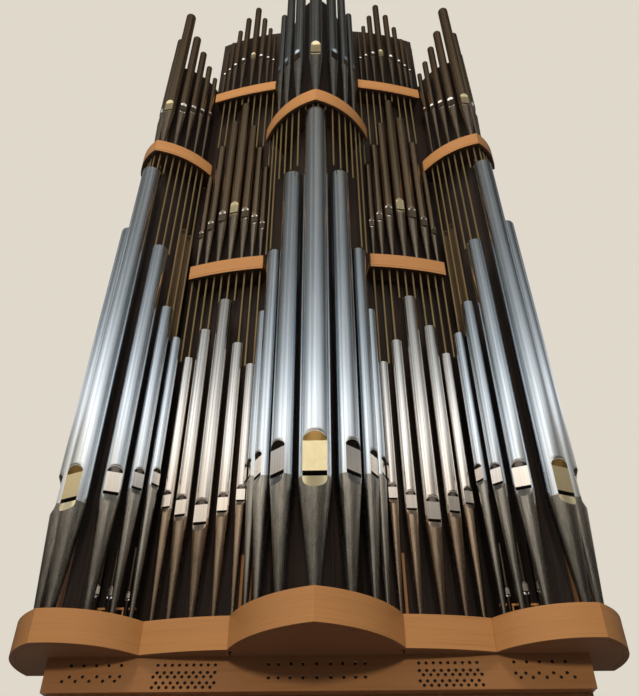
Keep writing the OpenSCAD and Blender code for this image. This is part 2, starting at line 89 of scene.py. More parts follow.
class Graph:
    """Node graph of one material or world, with short calls that add and link nodes."""

    def __init__(self, tree: bpy.types.NodeTree) -> None:
        """Empties the tree.

        Args:
            tree: node tree of a material or a world.
        """
        self.tree = tree
        tree.nodes.clear()

    def add(self, kind: str, values: Optional[dict[str, object]] = None,
            **settings: object) -> bpy.types.Node:
        """Adds a node.

        Args:
            kind: node type without its ShaderNode prefix.
            values: what goes into its inputs, by name.
            settings: properties of the node to set.

        Returns:
            The new node.
        """
        node = self.tree.nodes.new("ShaderNode" + kind)
        for name, value in settings.items():
            setattr(node, name, value)
        for name, value in (values or {}).items():
            self.link(value, node.inputs[name])
        return node

    def link(self, source: object, target: Socket) -> None:
        """Links an output to an input, or writes a number or a colour into it.

        Args:
            source: an output socket, a number or a colour.
            target: the input.
        """
        if isinstance(source, Socket):
            self.tree.links.new(source, target)
        else:
            target.default_value = (*source, 1.0) if isinstance(source, tuple) else source

    def place(self, stretch: Sequence[float]) -> Socket:
        """Object coordinates with the given repeats per metre along X, Y and Z."""
        spot = self.add("TexCoord").outputs["Object"]
        return self.add("Mapping", {"Vector": spot, "Scale": Vector(stretch)}).outputs["Vector"]

    def noise(self, stretch: Sequence[float], detail: float = 3.0, rough: float = 0.5) -> Socket:
        """Noise with so many repeats per metre along X, Y and Z, so many octaves and their roughness."""
        return self.add("TexNoise", {"Vector": self.place(stretch), "Scale": 1.0, "Detail": detail,
                                     "Roughness": rough}).outputs["Fac"]

    def ramp(self, value: Socket, stops: Sequence[tuple[float, Colour]]) -> Socket:
        """Colour that follows a value through the given stops.

        Args:
            value: the value to follow.
            stops: position and colour of each stop.

        Returns:
            The colour.
        """
        node = self.add("ValToRGB", {"Fac": value})
        ends = node.color_ramp.elements
        ends.remove(ends[1])
        ends[0].position = stops[0][0]
        ends[0].color = (*stops[0][1], 1.0)
        for position, colour in stops[1:]:
            ends.new(position).color = (*colour, 1.0)
        return node.outputs["Color"]

    def span(self, value: Socket, low: float, high: float,
             start: float = 0.0, end: float = 1.0) -> Socket:
        """Value mapped from the range between start and end to the one between low and high."""
        return self.add("MapRange", {"Value": value, "From Min": start, "From Max": end, "To Min": low,
                                     "To Max": high}).outputs["Result"]

    def mix(self, share: Socket, first: object, second: object) -> Socket:
        """Mix of two colours, each a socket or a written colour.

        Args:
            share: how much of the second colour shows.
            first: colour at share 0.
            second: colour at share 1.

        Returns:
            The mixed colour.
        """
        node = self.add("Mix", {"Factor": share}, data_type="RGBA")
        for name, colour in (("A", first), ("B", second)):
            self.link(colour, next(s for s in node.inputs if s.name == name and s.type == "RGBA"))
        return next(s for s in node.outputs if s.type == "RGBA")

    def math(self, operation: str, first: object, second: object = 0.0) -> Socket:
        """Calculates with two values.

        Args:
            operation: name of the calculation.
            first: first value, a socket or a number.
            second: second value.

        Returns:
            The result.
        """
        node = self.add("Math", operation=operation)
        for socket, value in zip(node.inputs, (first, second)):
            self.link(value, socket)
        return node.outputs["Value"]

    def scaled(self, colour: Socket, factor: Socket) -> Socket:
        """A colour multiplied by a value."""
        return self.add("VectorMath", {"Vector": colour, "Scale": factor}, operation="SCALE").outputs[0]

    def seen(self) -> Socket:
        """1 for rays from the camera, for mirrored and for clear ones, and 0 for rays that only light.

        Returns:
            The value.
        """
        rays = self.add("LightPath").outputs
        either = self.math("MAXIMUM", rays["Is Camera Ray"], rays["Is Glossy Ray"])
        return self.math("MAXIMUM", either, rays["Is Transmission Ray"])

    def bump(self, height: Socket, distance: float,
             under: Optional[Socket] = None) -> Socket:
        """Normal that shows a height.

        Args:
            height: the height, from 0 to 1.
            distance: what a height of 1 measures, in metres.
            under: another bump's normal, which this one is laid over.

        Returns:
            The normal.
        """
        node = self.add("Bump", {"Height": height, "Distance": distance})
        if under is not None:
            self.link(under, node.inputs["Normal"])
        return node.outputs["Normal"]

    def surface(self, colour: object, roughness: object, normal: Optional[Socket] = None,
                **constants: float) -> None:
        """Ends the graph in a Principled shader.

        Args:
            colour: base colour, a socket or a written colour.
            roughness: roughness, a socket or a number.
            normal: normal from the bumps, or None.
            constants: other inputs by name, with _ for a space.
        """
        shader = self.add("BsdfPrincipled", {"Base Color": colour, "Roughness": roughness})
        if normal is not None:
            self.link(normal, shader.inputs["Normal"])
        for name, number in constants.items():
            shader.inputs[name.replace("_", " ")].default_value = number
        self.end(shader, "OutputMaterial")

    def end(self, shader: bpy.types.Node, output: str) -> None:
        """Ends the graph with the shader as its surface."""
        self.link(shader.outputs[0], self.add(output).inputs["Surface"])


class Finish:
    """A finish of the organ, which makes its material once."""

    name: str

    def graph(self, graph: Graph) -> None:
        """Draws the finish's nodes."""
        raise NotImplementedError

    def material(self) -> bpy.types.Material:
        """The finish's material.

        Returns:
            The material, made on the first call.
        """
        found = bpy.data.materials.get(self.name)
        if found is None:
            found = bpy.data.materials.new(self.name)
            found.use_nodes = True
            self.graph(Graph(found.node_tree))
        return found


@dataclass(frozen=True)
class Metal(Finish):
    """Polished pipe metal, planed along the pipe and a little wavy from the mandrel."""

    name: str
    bright: Colour
    dull: Colour
    polish: float = 0.16
    haze: float = 0.30
    wave: float = 0.0006
    planing: float = 0.00005
    streak: float = 0.10
    own: tuple[float, float] = (0.88, 1.06)
    line_haze: float = 0.05
    drift_scale: Triple = (5, 5, 0.8)
    line_scale: Triple = (420, 420, 1.6)
    streak_scale: Triple = (95, 95, 0.5)
    haze_scale: Triple = (9, 9, 1.3)
    wave_scale: Triple = (13, 13, 1.1)

    def graph(self, graph: Graph) -> None:
        """Draws drifting tone, planing lines along the pipe and slow waves.

        Args:
            graph: the graph to draw in.
        """
        tone = graph.mix(graph.noise(self.drift_scale, 3), self.dull, self.bright)
        own = graph.span(graph.add("Attribute", attribute_name="tone").outputs["Fac"], *self.own)
        lines = graph.noise(self.line_scale, 4, 0.6)
        streaks = graph.span(graph.noise(self.streak_scale, 3, 0.6), 1 - self.streak, 1 + self.streak,
                             *NOISE_RANGE)
        shade = graph.scaled(tone, graph.math("MULTIPLY", own, streaks))
        rough = graph.math("ADD", graph.span(lines, -self.line_haze, self.line_haze),
                           graph.span(graph.noise(self.haze_scale, 2), self.polish, self.haze))
        waves = graph.bump(graph.noise(self.wave_scale, 2), self.wave)
        graph.surface(shade, rough, graph.bump(lines, self.planing, waves), Metallic=1.0)


@dataclass(frozen=True)
class Leaf(Finish):
    """Gold leaf laid on a lip in small squares."""

    name: str
    bright: Colour = (1.0, 0.88, 0.58)
    deep: Colour = (0.96, 0.79, 0.43)
    squares: Triple = (12, 12, 12)
    overlap: float = 0.02
    rough: tuple[float, float] = (0.28, 0.46)
    relief: float = 0.0002

    def graph(self, graph: Graph) -> None:
        """Draws mottled gold with the faint overlaps of the leaves.

        Args:
            graph: the graph to draw in.
        """
        tone = graph.mix(graph.noise((22, 22, 22), 4), self.deep, self.bright)
        squares = graph.add("TexBrick", {"Vector": graph.place(self.squares), "Scale": 1.0, "Brick Width": 1.0,
                                         "Row Height": 1.0, "Mortar Size": self.overlap}, offset=0.0)
        rough = graph.span(graph.noise((60, 60, 60), 3), *self.rough)
        height = graph.math("ADD", graph.noise((90, 90, 90), 3), squares.outputs["Fac"])
        graph.surface(tone, rough, graph.bump(height, self.relief), Metallic=1.0)


@dataclass(frozen=True)
class Veneer(Finish):
    """Varnished veneer whose grain runs level along the boards."""

    name: str
    pale: Colour
    deep: Colour
    line: Colour
    rough: float = 0.36
    upright: bool = False
    coat: float = 0.25
    coat_rough: float = 0.22
    relief: float = 0.00012
    line_range: tuple[float, float] = (0.52, 0.78)
    line_share: float = 0.75
    pore_range: tuple[float, float] = (0.45, 0.7)
    pore_share: float = 0.6
    spread: tuple[float, float] = (-0.05, 0.08)

    def graph(self, graph: Graph) -> None:
        """Draws slow tone bands, fine grain lines and short pores under a satin varnish.

        Args:
            graph: the graph to draw in.
        """
        def along(fine: float, slow: float) -> Triple:
            return (fine, fine, slow) if self.upright else (slow, slow, fine)

        tone = graph.mix(graph.noise(along(5.0, 0.45), 4, 0.55), self.pale, self.deep)
        grain = graph.noise(along(110, 1.4), 5, 0.65)
        lined = graph.mix(graph.span(grain, 0.0, self.line_share, *self.line_range), tone, self.line)
        pores = graph.noise(along(900, 38), 2)
        rough = graph.span(grain, *(self.rough + part for part in self.spread))
        height = graph.math("ADD", grain, graph.span(pores, 0.0, self.pore_share, *self.pore_range))
        graph.surface(lined, rough, graph.bump(height, self.relief), Coat_Weight=self.coat,
                      Coat_Roughness=self.coat_rough)


@dataclass(frozen=True)
class Matt(Finish):
    """Matt surface that drifts between two tones, such as the near-black boards behind the front or the
    painted shade inside a pipe.
    """

    name: str
    dark: Colour
    light: Colour
    stretch: Triple
    rough: tuple[float, float]
    detail: float = 4
    weight: float = 0.5
    contrast: tuple[float, float] = (0.0, 1.0)
    relief: float = 0.0002

    def graph(self, graph: Graph) -> None:
        """Draws the drifting tone, with a roughness and a slight relief that follow it.

        Args:
            graph: the graph to draw in.
        """
        grain = graph.noise(self.stretch, self.detail, self.weight)
        tone = graph.mix(graph.span(grain, 0.0, 1.0, *self.contrast), self.dark, self.light)
        graph.surface(tone, graph.span(grain, *self.rough), graph.bump(grain, self.relief))


@dataclass(frozen=True)
class Gilt(Finish):
    """Dull bronze gilding of the rods."""

    name: str
    bright: Colour = (0.40, 0.29, 0.13)
    dull: Colour = (0.19, 0.135, 0.062)
    rough: tuple[float, float] = (0.52, 0.30)
    relief: float = 0.0001
    metal: float = 0.75

    def graph(self, graph: Graph) -> None:
        """Draws uneven gilding with rubbed and duller patches.

        Args:
            graph: the graph to draw in.
        """
        patch = graph.noise((30, 30, 2.5), 4, 0.6)
        tone = graph.mix(patch, self.dull, self.bright)
        fine = graph.noise((240, 240, 60), 3)
        graph.surface(tone, graph.span(patch, *self.rough), graph.bump(fine, self.relief), Metallic=self.metal)


TIN = Metal("polished_tin", (0.76, 0.80, 0.83), (0.58, 0.63, 0.67), 0.14, 0.26)
TIN_FOOT = Metal("planed_tin_foot", (0.52, 0.50, 0.46), (0.36, 0.345, 0.31),
                 0.20, 0.34, 0.0005, 0.00012, 0.30)
WARM_TIN = Metal("warm_tin", (0.87, 0.84, 0.80), (0.68, 0.61, 0.54), 0.12, 0.22)
WARM_FOOT = Metal("planed_warm_foot", (0.58, 0.45, 0.34), (0.40, 0.30, 0.21),
                  0.20, 0.34, 0.0005, 0.00012, 0.30)
BROWN_TIN = Metal("brown_tin", (0.55, 0.42, 0.29), (0.36, 0.26, 0.17), 0.16, 0.28)
BROWN_FOOT = Metal("planed_brown_foot", (0.60, 0.49, 0.38), (0.36, 0.28, 0.20),
                   0.13, 0.24, 0.0005, 0.00012, 0.25)
# Burnished upper lip of the bluish and warm pipes; on the chins of the brown and steel pipes it is a painted
# highlight.
LIP = Metal("burnished_lip", (0.84, 0.80, 0.75), (0.72, 0.67, 0.62), 0.12, 0.20, 0.0002)
STEEL_TIN = Metal("steel_blue_tin", (0.58, 0.65, 0.70), (0.40, 0.45, 0.49), 0.14, 0.26)
BROWN_LIP = Metal("brown_lip", (0.40, 0.31, 0.23), (0.27, 0.20, 0.14), 0.12, 0.22, 0.0002)
# Painted dark reflection: the hood faces down under the arch, and this dark metal stands in for the dark it
# mirrors.
HOOD_DARK_REFLECTION = Metal("tarnished_hood", (0.20, 0.17, 0.15), (0.11, 0.09, 0.08), 0.14, 0.26, 0.0002)
INNER_TIN = Metal("unlit_inner_tin", (0.12, 0.095, 0.072), (0.07, 0.053, 0.040), 0.24, 0.36)
# Painted highlight: near-white metal that stands in for glints on the hoods of the upper pipes and on the
# mouths of the inner flues.
PAINTED_HIGHLIGHT_METAL = Metal("burnished_hood", (0.92, 0.89, 0.84), (0.80, 0.77, 0.72), 0.10, 0.18, 0.0001)
GOLD = Leaf("gold_leaf")
GOLD_HOOD = Leaf("gold_leaf_in_shade", (0.78, 0.50, 0.17), (0.60, 0.36, 0.11))
BENT_MAPLE = Veneer("bent_maple", (0.45, 0.205, 0.067), (0.355, 0.153, 0.046), (0.27, 0.107, 0.030))
PANEL_MAPLE = Veneer("panel_maple", (0.30, 0.130, 0.042), (0.235, 0.094, 0.028), (0.18, 0.066, 0.018), 0.40,
                     True)
FRIEZE_MAPLE = replace(PANEL_MAPLE, name="frieze_maple", upright=False)
# Painted shade: very dark uncoated wood on the shelves' faces that look down or back.
UNDERSIDE_SHADE_WOOD = Veneer("toe_board_wood", (0.060, 0.027, 0.012), (0.040, 0.017, 0.008), (0.026, 0.011, 0.005), 0.75,
                  coat=0.0)
# Darker uncoated wood laid on the chest floor, and on the rails' faces that look down or back as painted
# shade.
CHEST_FLOOR_AND_UNDERSIDE_SHADE = Veneer("chest_floor_wood", (0.22, 0.10, 0.040), (0.16, 0.070, 0.027), (0.11, 0.045, 0.017), 0.75,
                    coat=0.0)
RAW_WOOD = Veneer("inner_pipe_wood", (0.075, 0.044, 0.019), (0.050, 0.028, 0.012), (0.032, 0.017, 0.008),
                  0.65, True, 0.0)
# Near-black matt for the walls and roofs behind the pipes.
NEAR_BLACK = Matt("black_stain", (0.012, 0.008, 0.006), (0.035, 0.018, 0.011), (60, 60, 0.9), (0.55, 0.75), 5, 0.6,
             (0.4, 0.75))
# Painted shade: near-black finish inside the pipes, in their slits and in the bores of holes.
HOLLOW_SHADE = Matt("dark_hollow", (0.010, 0.006, 0.005), (0.030, 0.022, 0.018), (35, 35, 35), (0.7, 0.9))
GILT = Gilt("dull_gilding")


@dataclass(frozen=True)
class PipeFinish:
    """The finishes of one kind of front pipe."""

    body: Finish
    foot: Finish
    lip: Finish
    hood: Finish = HOOD_DARK_REFLECTION
    chin: Optional[Finish] = None

    def gilded(self) -> "PipeFinish":
        """The same pipe with gilded lips."""
        return PipeFinish(self.body, self.foot, GOLD, GOLD_HOOD if self.hood is HOOD_DARK_REFLECTION else GOLD, GOLD)

    def finishes(self) -> tuple[Finish, ...]:
        """Finishes in the order of the pattern's numbers."""
        return self.body, self.foot, self.lip, self.hood, self.chin or self.foot, HOLLOW_SHADE


class PipeKind(Enum):
    """Kinds of front pipe by the tone of their metal."""

    BLUISH = PipeFinish(TIN, TIN_FOOT, LIP)
    WARM = PipeFinish(WARM_TIN, WARM_FOOT, LIP)
    # The brown pipes' near-white hoods and the bright chins of the brown and steel pipes are painted
    # highlights.
    BROWN = PipeFinish(BROWN_TIN, BROWN_FOOT, BROWN_LIP, PAINTED_HIGHLIGHT_METAL, LIP)
    STEEL = PipeFinish(STEEL_TIN, TIN_FOOT, BROWN_LIP, STEEL_TIN, LIP)


def deselect() -> None:
    """Leaves edit mode and deselects every object."""
    if bpy.context.mode != "OBJECT":
        bpy.ops.object.mode_set(mode="OBJECT")
    bpy.ops.object.select_all(action="DESELECT")


def take(piece: Piece) -> None:
    """Selects one piece alone and makes it active.

    Args:
        piece: the piece.
    """
    deselect()
    piece.select_set(True)
    bpy.context.view_layer.objects.active = piece


class Editing:
    """Edit mode on one piece, entered with a clear selection and left at the end."""

    def __init__(self, piece: Piece, whole: bool = False) -> None:
        """Keeps the piece, and whether all of it is to be selected."""
        self.piece = piece
        self.action = "SELECT" if whole else "DESELECT"

    def __enter__(self) -> "Editing":
        """Enters edit mode.

        Returns:
            The editing, to choose with.
        """
        take(self.piece)
        bpy.ops.object.mode_set(mode="EDIT")
        bpy.ops.mesh.select_mode(type="VERT")
        bpy.ops.mesh.select_all(action=self.action)
        return self

    def __exit__(self, *_: object) -> None:
        """Goes back to object mode."""
        bpy.ops.object.mode_set(mode="OBJECT")

    def choose(self, kind: str, test: Callable[[object], bool]) -> int:
        """Selects the vertices, edges or faces that pass a test, and nothing else.

        Args:
            kind: "VERT", "EDGE" or "FACE".
            test: what is asked of each mesh vertex, edge or polygon.

        Returns:
            How many were selected.
        """
        bpy.ops.mesh.select_mode(type=kind)
        bpy.ops.mesh.select_all(action="DESELECT")
        bpy.ops.object.mode_set(mode="OBJECT")
        mesh = self.piece.data
        items = {"VERT": mesh.vertices, "EDGE": mesh.edges, "FACE": mesh.polygons}[kind]
        found = [item for item in items if test(item)]
        for item in found:
            item.select = True
        bpy.ops.object.mode_set(mode="EDIT")
        return len(found)


def stand(data: bpy.types.ID, name: str) -> Piece:
    """A new object in the scene, with the given mesh, light or camera.

    Args:
        data: the mesh, light or camera.
        name: the object's name.

    Returns:
        The object.
    """
    piece = bpy.data.objects.new(name, data)
    bpy.context.scene.collection.objects.link(piece)
    return piece


def model(add: Callable[..., object], name: str, **settings: object) -> Piece:
    """Models a mesh primitive, with its place, turn and scale in its mesh.

    Args:
        add: Blender's operator for it.
        name: the piece's name.
        settings: the operator's settings.

    Returns:
        The piece, with no material.
    """
    deselect()
    add(**settings)
    bpy.ops.object.transform_apply(location=True, rotation=True, scale=True)
    piece = bpy.context.object
    piece.name = name
    return piece


def disc(name: str, radius: float, depth: float, middle: Sequence[float]) -> Piece:
    """Models a short round piece whose axis runs from front to back."""
    return model(bpy.ops.mesh.primitive_cylinder_add, name, vertices=HOLE_SIDES, radius=radius, depth=depth,
                 location=middle, rotation=(math.pi / 2, 0, 0))


def dress(piece: Piece, *finishes: Finish) -> None:
    """Adds the finishes' materials to the piece."""
    for finish in finishes:
        piece.data.materials.append(finish.material())


def copy_of(node: str, name: str = "") -> Piece:
    """A merged copy of a CAD node's mesh, with its coplanar triangles joined.

    Args:
        node: the node's name.
        name: the copy's name, or the node's with an ending for none.

    Returns:
        The copy, with no material.
    """
    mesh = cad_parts[node].data.copy()
    mesh.name = name or node + "_finished"
    mesh.materials.clear()
    piece = stand(mesh, name or node + "_finished")
    if "custom_normal" in mesh.attributes:
        mesh.attributes.remove(mesh.attributes["custom_normal"])
    with Editing(piece, whole=True):
        bpy.ops.mesh.remove_doubles(threshold=MERGE)
        bpy.ops.mesh.dissolve_limited(angle_limit=FLAT)
    return piece


def modify(piece: Piece, kind: str, **settings: object) -> None:
    """Puts a modifier on the piece and applies it.

    Args:
        piece: the piece.
        kind: the modifier's type.
        settings: its properties.
    """
    take(piece)
    modifier = piece.modifiers.new(kind.lower(), kind)
    for name, value in settings.items():
        setattr(modifier, name, value)
    bpy.ops.object.modifier_apply(modifier=modifier.name)


def bevel(piece: Piece, width: float) -> None:
    """Eases the piece's real edges."""
    modify(piece, "BEVEL", width=width, segments=1, limit_method="ANGLE", angle_limit=SHARP)


def groove(piece: Piece, axis: int, place: float, width: float = 0.003, depth: float = 0.002) -> None:
    """Sinks a narrow groove all round the piece, level with one of its axes.

    Args:
        piece: the piece.
        axis: 0, 1 or 2 for a groove across X, Y or Z.
        place: coordinate of the groove's middle, in metres.
        width: width of the groove.
        depth: depth of the groove.
    """
    across = Vector((0, 0, 0))
    across[axis] = 1
    with Editing(piece) as edit:
        for side in (-1, 1):
            bpy.ops.mesh.select_all(action="SELECT")
            bpy.ops.mesh.bisect(plane_co=across * (place + side * width / 2), plane_no=across)
        edit.choose("FACE", lambda f: abs(f.center[axis] - place) < width / 2 and abs(f.normal[axis]) < 0.5)
        bpy.ops.mesh.extrude_region_shrink_fatten(TRANSFORM_OT_shrink_fatten={"value": -depth})


def smooth(piece: Piece, degrees: float = 22.0) -> None:
    """Shades the piece smooth across edges flatter than an angle."""
    take(piece)
    bpy.ops.object.shade_smooth_by_angle(angle=math.radians(degrees))


def join(pieces: Sequence[Piece], name: str) -> Piece:
    """Joins pieces into one.

    Args:
        pieces: the pieces.
        name: the joined piece's name.

    Returns:
        The joined piece.
    """
    take(pieces[0])
    for piece in pieces:
        piece.select_set(True)
    if len(pieces) > 1:
        bpy.ops.object.join()
    pieces[0].name = name
    pieces[0].data.name = name
    return pieces[0]


def finish_piece(piece: Piece, nodes: Sequence[str] = ()) -> Piece:
    """Puts a piece on the organ.

    Args:
        piece: the finished piece, with its place in its mesh.
        nodes: CAD nodes that it stands for.

    Returns:
        The piece.
    """
    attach(piece, BODY)
    if nodes:
        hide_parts(*nodes)
    LOG.info("%s: %d faces", piece.name, len(piece.data.polygons))
    return piece


class Row(IntEnum):
    """Rows of a flue pipe's mesh, from the inside of its body down to its toe."""

    CORE = 0
    BORE = auto()
    RIM = auto()
    NECK = auto()
    BROW = auto()
    EDGE = auto()
    ARCH = auto()
    CREASE = auto()
    LIP = auto()
    SILL = auto()
    CHIN = auto()
    COLLAR = auto()
    TOE = auto()


@dataclass(frozen=True)
class Pipe:
    """One flue pipe of the frame: where it stands and what it measures, in metres."""

    axis: Vector
    facing: float
    toe: float
    mouth: float
    top: float
    radius: float

    @property
    def diameter(self) -> float:
        """Outer diameter of the body."""
        return 2 * self.radius


@dataclass(frozen=True)
class PipeShape:
    """Proportions of a flue pipe, as shares of its diameter, and how its mesh is divided.

    HOOD_ROWS gives where each row of the hood ends, as a share of the hood's height, and how far it swells
    out and sinks in, as shares of the roll.
    """

    HOOD_ROWS = {Row.BROW: (0.12, 1.0, 0.0), Row.EDGE: (0.08, 0.35, 0.3), Row.ARCH: (0.04, 0.0, 1.0)}

    mouth_width: float = 0.735
    lip_height: float = 1.46
    hood_height: float = 0.27
    hood_corner: float = 3.0
    slit_height: float = 0.17
    slit_depth: float = 0.35
    chin_height: float = 0.40
    chin_end: float = 0.3
    chin_fullness: float = 0.8
    roll: float = 0.022
    wall: float = 0.002
    toe_width: float = 0.19
    core_rise: float = 1.0
    neck_rise: float = 0.12
    mouth_columns: int = 16
    round_columns: int = 32

    @property
    def columns(self) -> int:
        """Columns round the whole pipe."""
        return self.mouth_columns + self.round_columns

    def in_mouth(self, column: int) -> bool:
        """True for the columns across the mouth, its two sides among them."""
        return column <= self.mouth_columns

    def turn(self, column: int) -> float:
        """Angle of a column from the mouth's middle, to +X first.

        Args:
            column: the column.

        Returns:
            The angle in radians.
        """
        if self.in_mouth(column):
            return math.asin(-self.mouth_width * math.cos(math.pi * column / self.mouth_columns))
        half = math.asin(self.mouth_width)
        share = (column - self.mouth_columns) / self.round_columns
        return half + share * (2 * math.pi - 2 * half)

    def round_level(self, row: Row, pipe: Pipe) -> float:
        """Level of a row outside the mouth, above the slit's lower edge.

        Args:
            row: the row.
            pipe: the pipe.

        Returns:
            The level in metres.
        """
        d = pipe.diameter
        crease = (self.lip_height - self.hood_height) * d
        if row in self.HOOD_ROWS:
            return crease + self.HOOD_ROWS[row][0] * self.hood_height * d
        return {
            Row.CORE: (self.lip_height + self.core_rise) * d,
            Row.BORE: pipe.top - pipe.mouth,
            Row.RIM: pipe.top - pipe.mouth,
            Row.NECK: (self.lip_height + self.neck_rise) * d,
            Row.CREASE: crease,
            Row.LIP: self.slit_height * d,
            Row.SILL: 0.0,
            Row.CHIN: -self.chin_end * self.chin_height * d,
            Row.COLLAR: -(1 + self.chin_end) * self.chin_height * d,
            Row.TOE: pipe.toe - pipe.mouth,
        }[row]

    def shell_radius(self, level: float, pipe: Pipe) -> float:
        """Radius of the pipe's outside at a level above the slit's lower edge.

        Args:
            level: the level, which is below 0 on the foot.
            pipe: the pipe.

        Returns:
            The radius in metres.
        """
        if level >= 0:
            return pipe.radius
        return pipe.radius * (1 + (1 - self.toe_width) * level / (pipe.mouth - pipe.toe))

    def point(self, row: Row, column: int, pipe: Pipe) -> Vector:
        """Place of one vertex in the pipe's own frame, its mouth towards -Y and the slit's edge at 0.

        Args:
            row: the vertex's row.
            column: its column.
            pipe: the pipe.

        Returns:
            The place in metres.
        """
        if row in (Row.CORE, Row.BORE):
            radius = pipe.radius - self.wall
        elif not self.in_mouth(column) or row in (Row.RIM, Row.NECK, Row.COLLAR, Row.TOE):
            radius = self.shell_radius(self.round_level(row, pipe), pipe)
        else:
            return self.mouth_point(row, column, pipe)
        turn = self.turn(column)
        return Vector((radius * math.sin(turn), -radius * math.cos(turn), self.round_level(row, pipe)))

    def mouth_point(self, row: Row, column: int, pipe: Pipe) -> Vector:
        """Place of a vertex on the pressed mouth.

        Args:
            row: the vertex's row.
            column: its column, across the mouth.
            pipe: the pipe.

        Returns:
            The place in metres.
        """
        r, d = pipe.radius, pipe.diameter
        half = self.mouth_width * r
        flat = math.sqrt(r * r - half * half)
        c = math.cos(math.pi * column / self.mouth_columns)
        s = math.sin(math.pi * column / self.mouth_columns)
        hood = self.hood_height * d
        crease = self.lip_height * d - hood
        if row in self.HOOD_ROWS:
            _, out, sink = self.HOOD_ROWS[row]
            swell = out * self.roll * d * min(1.0, self.hood_corner * s)
            x = -(half + swell) * c
            y = -math.sqrt(r * r - x * x) + sink * self.roll * d * s
            return Vector((x, min(y, -flat) if row is Row.ARCH else y, crease + (hood + swell) * s))
        if row is Row.CHIN:
            level = -self.chin_height * d * s ** self.chin_fullness
            out = math.sqrt(self.shell_radius(level, pipe) ** 2 - (half * c) ** 2)
            return Vector((-half * c, -out, level))
        level = {Row.CREASE: crease, Row.LIP: self.slit_height * d, Row.SILL: 0.0}[row]
        return Vector((-half * c, -flat, level))


